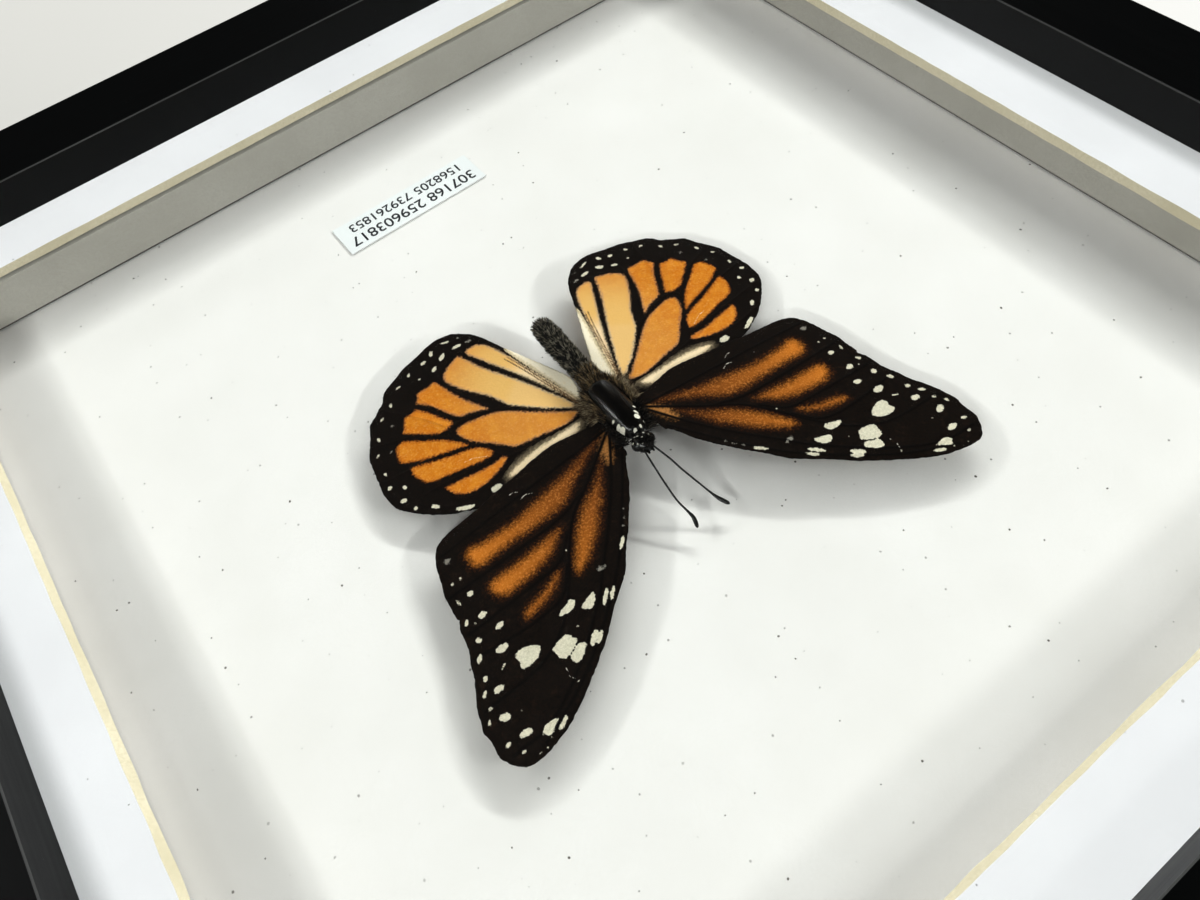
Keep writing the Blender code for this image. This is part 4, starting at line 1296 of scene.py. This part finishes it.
def make_head():
    bm = bmesh.new()
    loft(bm, HEAD, sides=40, steps=8, aside=HEAD_ASIDE)
    for side in (-1, 1):  # round eyes, and the two short palps in front
        eye = Matrix.Translation((HEAD_ASIDE + side * EYE_OUT, 8.0, HEAD_Z))
        bmesh.ops.create_uvsphere(bm, u_segments=24, v_segments=16, radius=EYE_RADIUS,
                                  matrix=eye)
        palp = Matrix.Translation((HEAD_ASIDE + side * PALP_OUT, 9.75, HEAD_Z))
        bmesh.ops.create_cone(bm, cap_ends=True, segments=12, radius1=0.34, radius2=0.16,
                              depth=PALP, matrix=palp @ Matrix.Rotation(-math.pi / 2, 4, "X"))
    place_part("cuticle_head", bm, cuticle, "head")


make_thorax()
make_head()

# %% Abdomen
BODY_RING, WAIST = 2.3, 0.035  # mm from one body ring to the next, and how much it narrows


def make_abdomen():
    bm = bmesh.new()
    loft(bm, ABDOMEN, sides=36, steps=8)
    first, axis = ABDOMEN[0][0], 4.6
    for v in bm.verts:
        waist = 0.5 + 0.5 * math.cos(2 * math.pi * (v.co.y - first) / BODY_RING)
        v.co.x *= 1.0 - WAIST * waist
        v.co.z = axis + (v.co.z - axis) * (1.0 - WAIST * waist)
    place_part("ringed_abdomen", bm, black_cuticle("dull black cuticle", 0.5), "abdomen")


make_abdomen()

# %% [markdown]
# ### Antennae
# Each antenna is a thin black rod of many short joints that swells to a club. The same tube
# function serves: every ring stands square to the path and has its own radius.

# %% Antennae
ANTENNA_LEFT = [(-0.4, 9.4, 5.1), (-0.5, 10.1, 5.2), (-1.32, 12.9, 4.43), (-1.77, 15.1, 3.83),
                (-2.47, 17.8, 3.11), (-3.07, 20.1, 2.51), (-3.52, 21.6, 2.1),
                (-4.01, 22.6, 1.84), (-4.5, 23.5, 1.6)]
ANTENNA_RIGHT = [(1.15, 9.5, 5.1), (1.35, 10.3, 5.2), (1.63, 13.4, 4.36), (1.81, 16.0, 3.64),
                 (1.89, 18.7, 2.92), (1.56, 21.0, 2.32), (1.47, 22.2, 2.01),
                 (1.9, 23.7, 1.6)]


RADIUS, CLUB, CLUB_AT, CLUB_LENGTH = 0.15, 0.19, 1.2, 1.5  # the club lies near the tip
JOINT, JOINTS_PER_MM, TIP = 0.008, 9.0 / (2 * math.pi), 0.35


def antenna(side, path):
    line = curve(path, 8, False)
    walked = np.concatenate([[0.0], np.cumsum(np.linalg.norm(np.diff(line, axis=0), axis=1))])
    seats = []
    for k, point in enumerate(line):
        ahead = Vector(line[min(k + 1, len(line) - 1)] - line[max(k - 1, 0)]).normalized()
        across = ahead.cross(UP).normalized()
        left = walked[-1] - walked[k]
        club = CLUB * math.exp(-((left - CLUB_AT) / CLUB_LENGTH) ** 2)
        joint = JOINT * math.cos(2 * math.pi * JOINTS_PER_MM * walked[k])
        radius = (RADIUS + club + joint) * min(1.0, 0.3 + left / TIP)
        seats.append(Matrix.Translation(point)
                     @ Matrix((across, ahead.cross(across), ahead)).transposed().to_4x4()
                     @ Matrix.Scale(radius, 4))
    bm = bmesh.new()
    tube(bm, seats, 12)
    place_part(f"clubbed_antenna_{side}", bm, antenna_mat, f"antenna_{side}")


antenna_mat = black_cuticle("antenna cuticle", 0.42)
antenna("left", ANTENNA_LEFT)
antenna("right", ANTENNA_RIGHT)

# %% [markdown]
# ### Hair
# Fine hair covers the abdomen and the sides of the thorax, and spreads over the wing roots. One
# hair is a bent, three-sided taper of ten vertices. Thousands of them are one mesh, made by
# copying that shape to many roots, each with its own length, lean and shade. All chance comes
# from one seeded generator, so every run gives the same coat.

# %% One hair, copied to many roots
TAPER = [(0.0, 1.0), (0.45, 0.85), (0.8, 0.5)]  # along the hair, and how thick it is there
rng = np.random.default_rng(11)


def hair(name, roots, ways, lengths, droop, thick, mat):
    """One mesh of many hairs; lengths is a range in mm, and droop bends each hair."""
    n, droop = len(roots), np.array(droop)
    lengths = rng.uniform(*lengths, n)
    ways = ways / np.linalg.norm(ways, axis=1)[:, None]
    across = np.cross(ways, rng.normal(size=(n, 3)))
    across /= np.linalg.norm(across, axis=1)[:, None]
    other = np.cross(ways, across)
    points = []
    for t, r in TAPER:
        centre = roots + ways * (lengths * t)[:, None] + droop * (lengths * t * t)[:, None]
        for k in range(3):
            a = 2 * math.pi * k / 3
            points.append(centre + (across * math.cos(a) + other * math.sin(a)) * thick * r)
    points.append(roots + ways * lengths[:, None] + droop * lengths[:, None])
    points = np.stack(points, 1).reshape(-1, 3)
    sides = [(row + k, row + (k + 1) % 3, row + 3 + (k + 1) % 3, row + 3 + k)
             for row in (0, 3) for k in range(3)]
    ends = [(6, 7, 9), (7, 8, 9), (8, 6, 9)], [(2, 1, 0)]
    base = np.arange(n)[:, None, None] * 10
    faces = [f for some in (sides, *ends)
             for f in (base + np.array(some)[None]).reshape(-1, len(some[0])).tolist()]
    mesh = bpy.data.meshes.new(name)
    mesh.from_pydata(to_metres(points).tolist(), [], faces)
    mesh.update()
    shade = mesh.attributes.new("shade", "FLOAT", "POINT")
    shade.data.foreach_set("value", np.repeat(rng.uniform(0, 1, n), 10).astype(np.float32))
    place_mesh(name, mesh, mat, smooth=180)


def hair_finish(name, dark, light):
    """Hair-like scales: each hair has its own shade between two colours."""
    mat, tree, shader = new_finish(name, {"IOR": 1.55, "Roughness": 0.55,
                                          "Specular IOR Level": 0.2})
    shade = add(tree, "Attribute", attribute_name="shade").outputs["Fac"]
    where = add(tree, "TexCoord").outputs["Object"]
    patch = add(tree, "TexNoise", {"Vector": where, "Scale": per_mm(1.0), "Detail": 2.0})
    mixed = add(tree, "Math", {0: shade, 1: patch.outputs[0]}, operation="MULTIPLY")
    dress(tree, shader, layered(tree, dark, (soft_share(tree, mixed.outputs[0], 0.25, 0.45),
                                             light)))
    return mat


print("a hair has", 3 * len(TAPER) + 1, "vertices")

# %% Where hair grows, and which way
def on_loft(stations, n, low, high, arc, aside=0.0):
    """Random roots on a lofted body between two places along it, with outward ways.
    arc is the range of angles round the section, 90 degrees being the top."""
    rows = curve(stations, 8, False)
    rows = rows[np.argsort(rows[:, 0])]
    along = rng.uniform(low, high, n)
    a = np.radians(rng.uniform(*arc, n))
    wide, tall, axis = (np.interp(along, rows[:, 0], rows[:, k]) for k in (1, 2, 3))
    roots = np.stack([aside + wide * np.cos(a), along, axis + tall * np.sin(a)], 1)
    ways = np.stack([np.cos(a) / wide, np.zeros(n), np.sin(a) / tall], 1)
    return roots, ways / np.linalg.norm(ways, axis=1)[:, None]


def beside_body(n, *ranges):
    """Random roots and ways on both sides; ranges across, along and up, for each of the two."""
    side = np.sign(rng.uniform(-1, 1, n))
    x, y, z, u, v, w = (rng.uniform(*pair, n) for pair in ranges)
    return np.stack([side * x, y, z], 1), np.stack([side * u, v, w], 1)


ASTRAY = 0.3


def combed(ways, outwards, comb):
    """Ways that keep a share of their outward lean and follow the comb, each a little astray."""
    return ways * outwards + np.array(comb) + rng.normal(size=ways.shape) * ASTRAY

# %% Hair of the abdomen
abdomen_fur = hair_finish("abdomen hair", "#0c0a08", "#9a9282")
roots, ways = on_loft(ABDOMEN, 3600, -23.1, -6.2, (-60, 240))
hair("abdomen_fur", roots, combed(ways, 0.75, (0.0, -1.0, 0.0)), (0.4, 0.85),
     (0, -0.2, -0.1), 0.055, abdomen_fur)

# %% Hair of the thorax
thorax_fur = hair_finish("thorax hair", "#140d07", "#9c8462")
patches = [on_loft(ABDOMEN if high < 0 else THORAX, count, low, high, arc)
           for low, high, arc, count in (
               (-5.6, 1.2, (-20, 30), 800), (-5.6, 1.2, (150, 200), 800),
               (-5.6, -0.6, (30, 56), 170), (-5.6, -0.6, (124, 150), 170),
               (-8.5, -4.2, (10, 170), 650))]
roots, ways = (np.concatenate(p) for p in zip(*patches))
hair("thorax_fur", roots, combed(ways, 0.8, (0.0, -1.1, 0.1)), (0.6, 1.7),
     (0, -0.25, -0.1), 0.045, thorax_fur)

# %% Hair of the wing roots, the shoulders and the head
roots, ways = beside_body(1300, (2.2, 3.6), (-4.5, 0.5), (4.5, 5.1),
                          (0.5, 1.2), (-0.9, 0.2), (-0.12, 0.1))
hair("wing_root_fur", roots, ways, (1.0, 2.6), (0, -0.15, -0.05), 0.035,
     hair_finish("wing root hair", "#4a3a2a", "#c8b798"))
# Black scales of the shoulders close the gap between the thorax and the forewings
roots, ways = beside_body(1500, (1.5, 3.5), (1.2, 6.6), (4.0, 5.0),
                          (0.3, 1.2), (-0.7, 0.6), (-0.2, 0.25))
hair("shoulder_fur", roots, ways, (0.5, 1.3), (0, -0.1, -0.1), 0.045,
     hair_finish("shoulder hair", "#0b0908", "#4b4238"))
roots, ways = on_loft(HEAD, 320, 6.6, 9.6, (0, 180), HEAD_ASIDE)
hair("head_fur", roots, combed(ways, 1.0, (0.0, 0.5, 0.2)), (0.25, 0.6),
     (0, 0, -0.1), 0.025, hair_finish("head hair", "#0f0d0b", "#3b332b"))
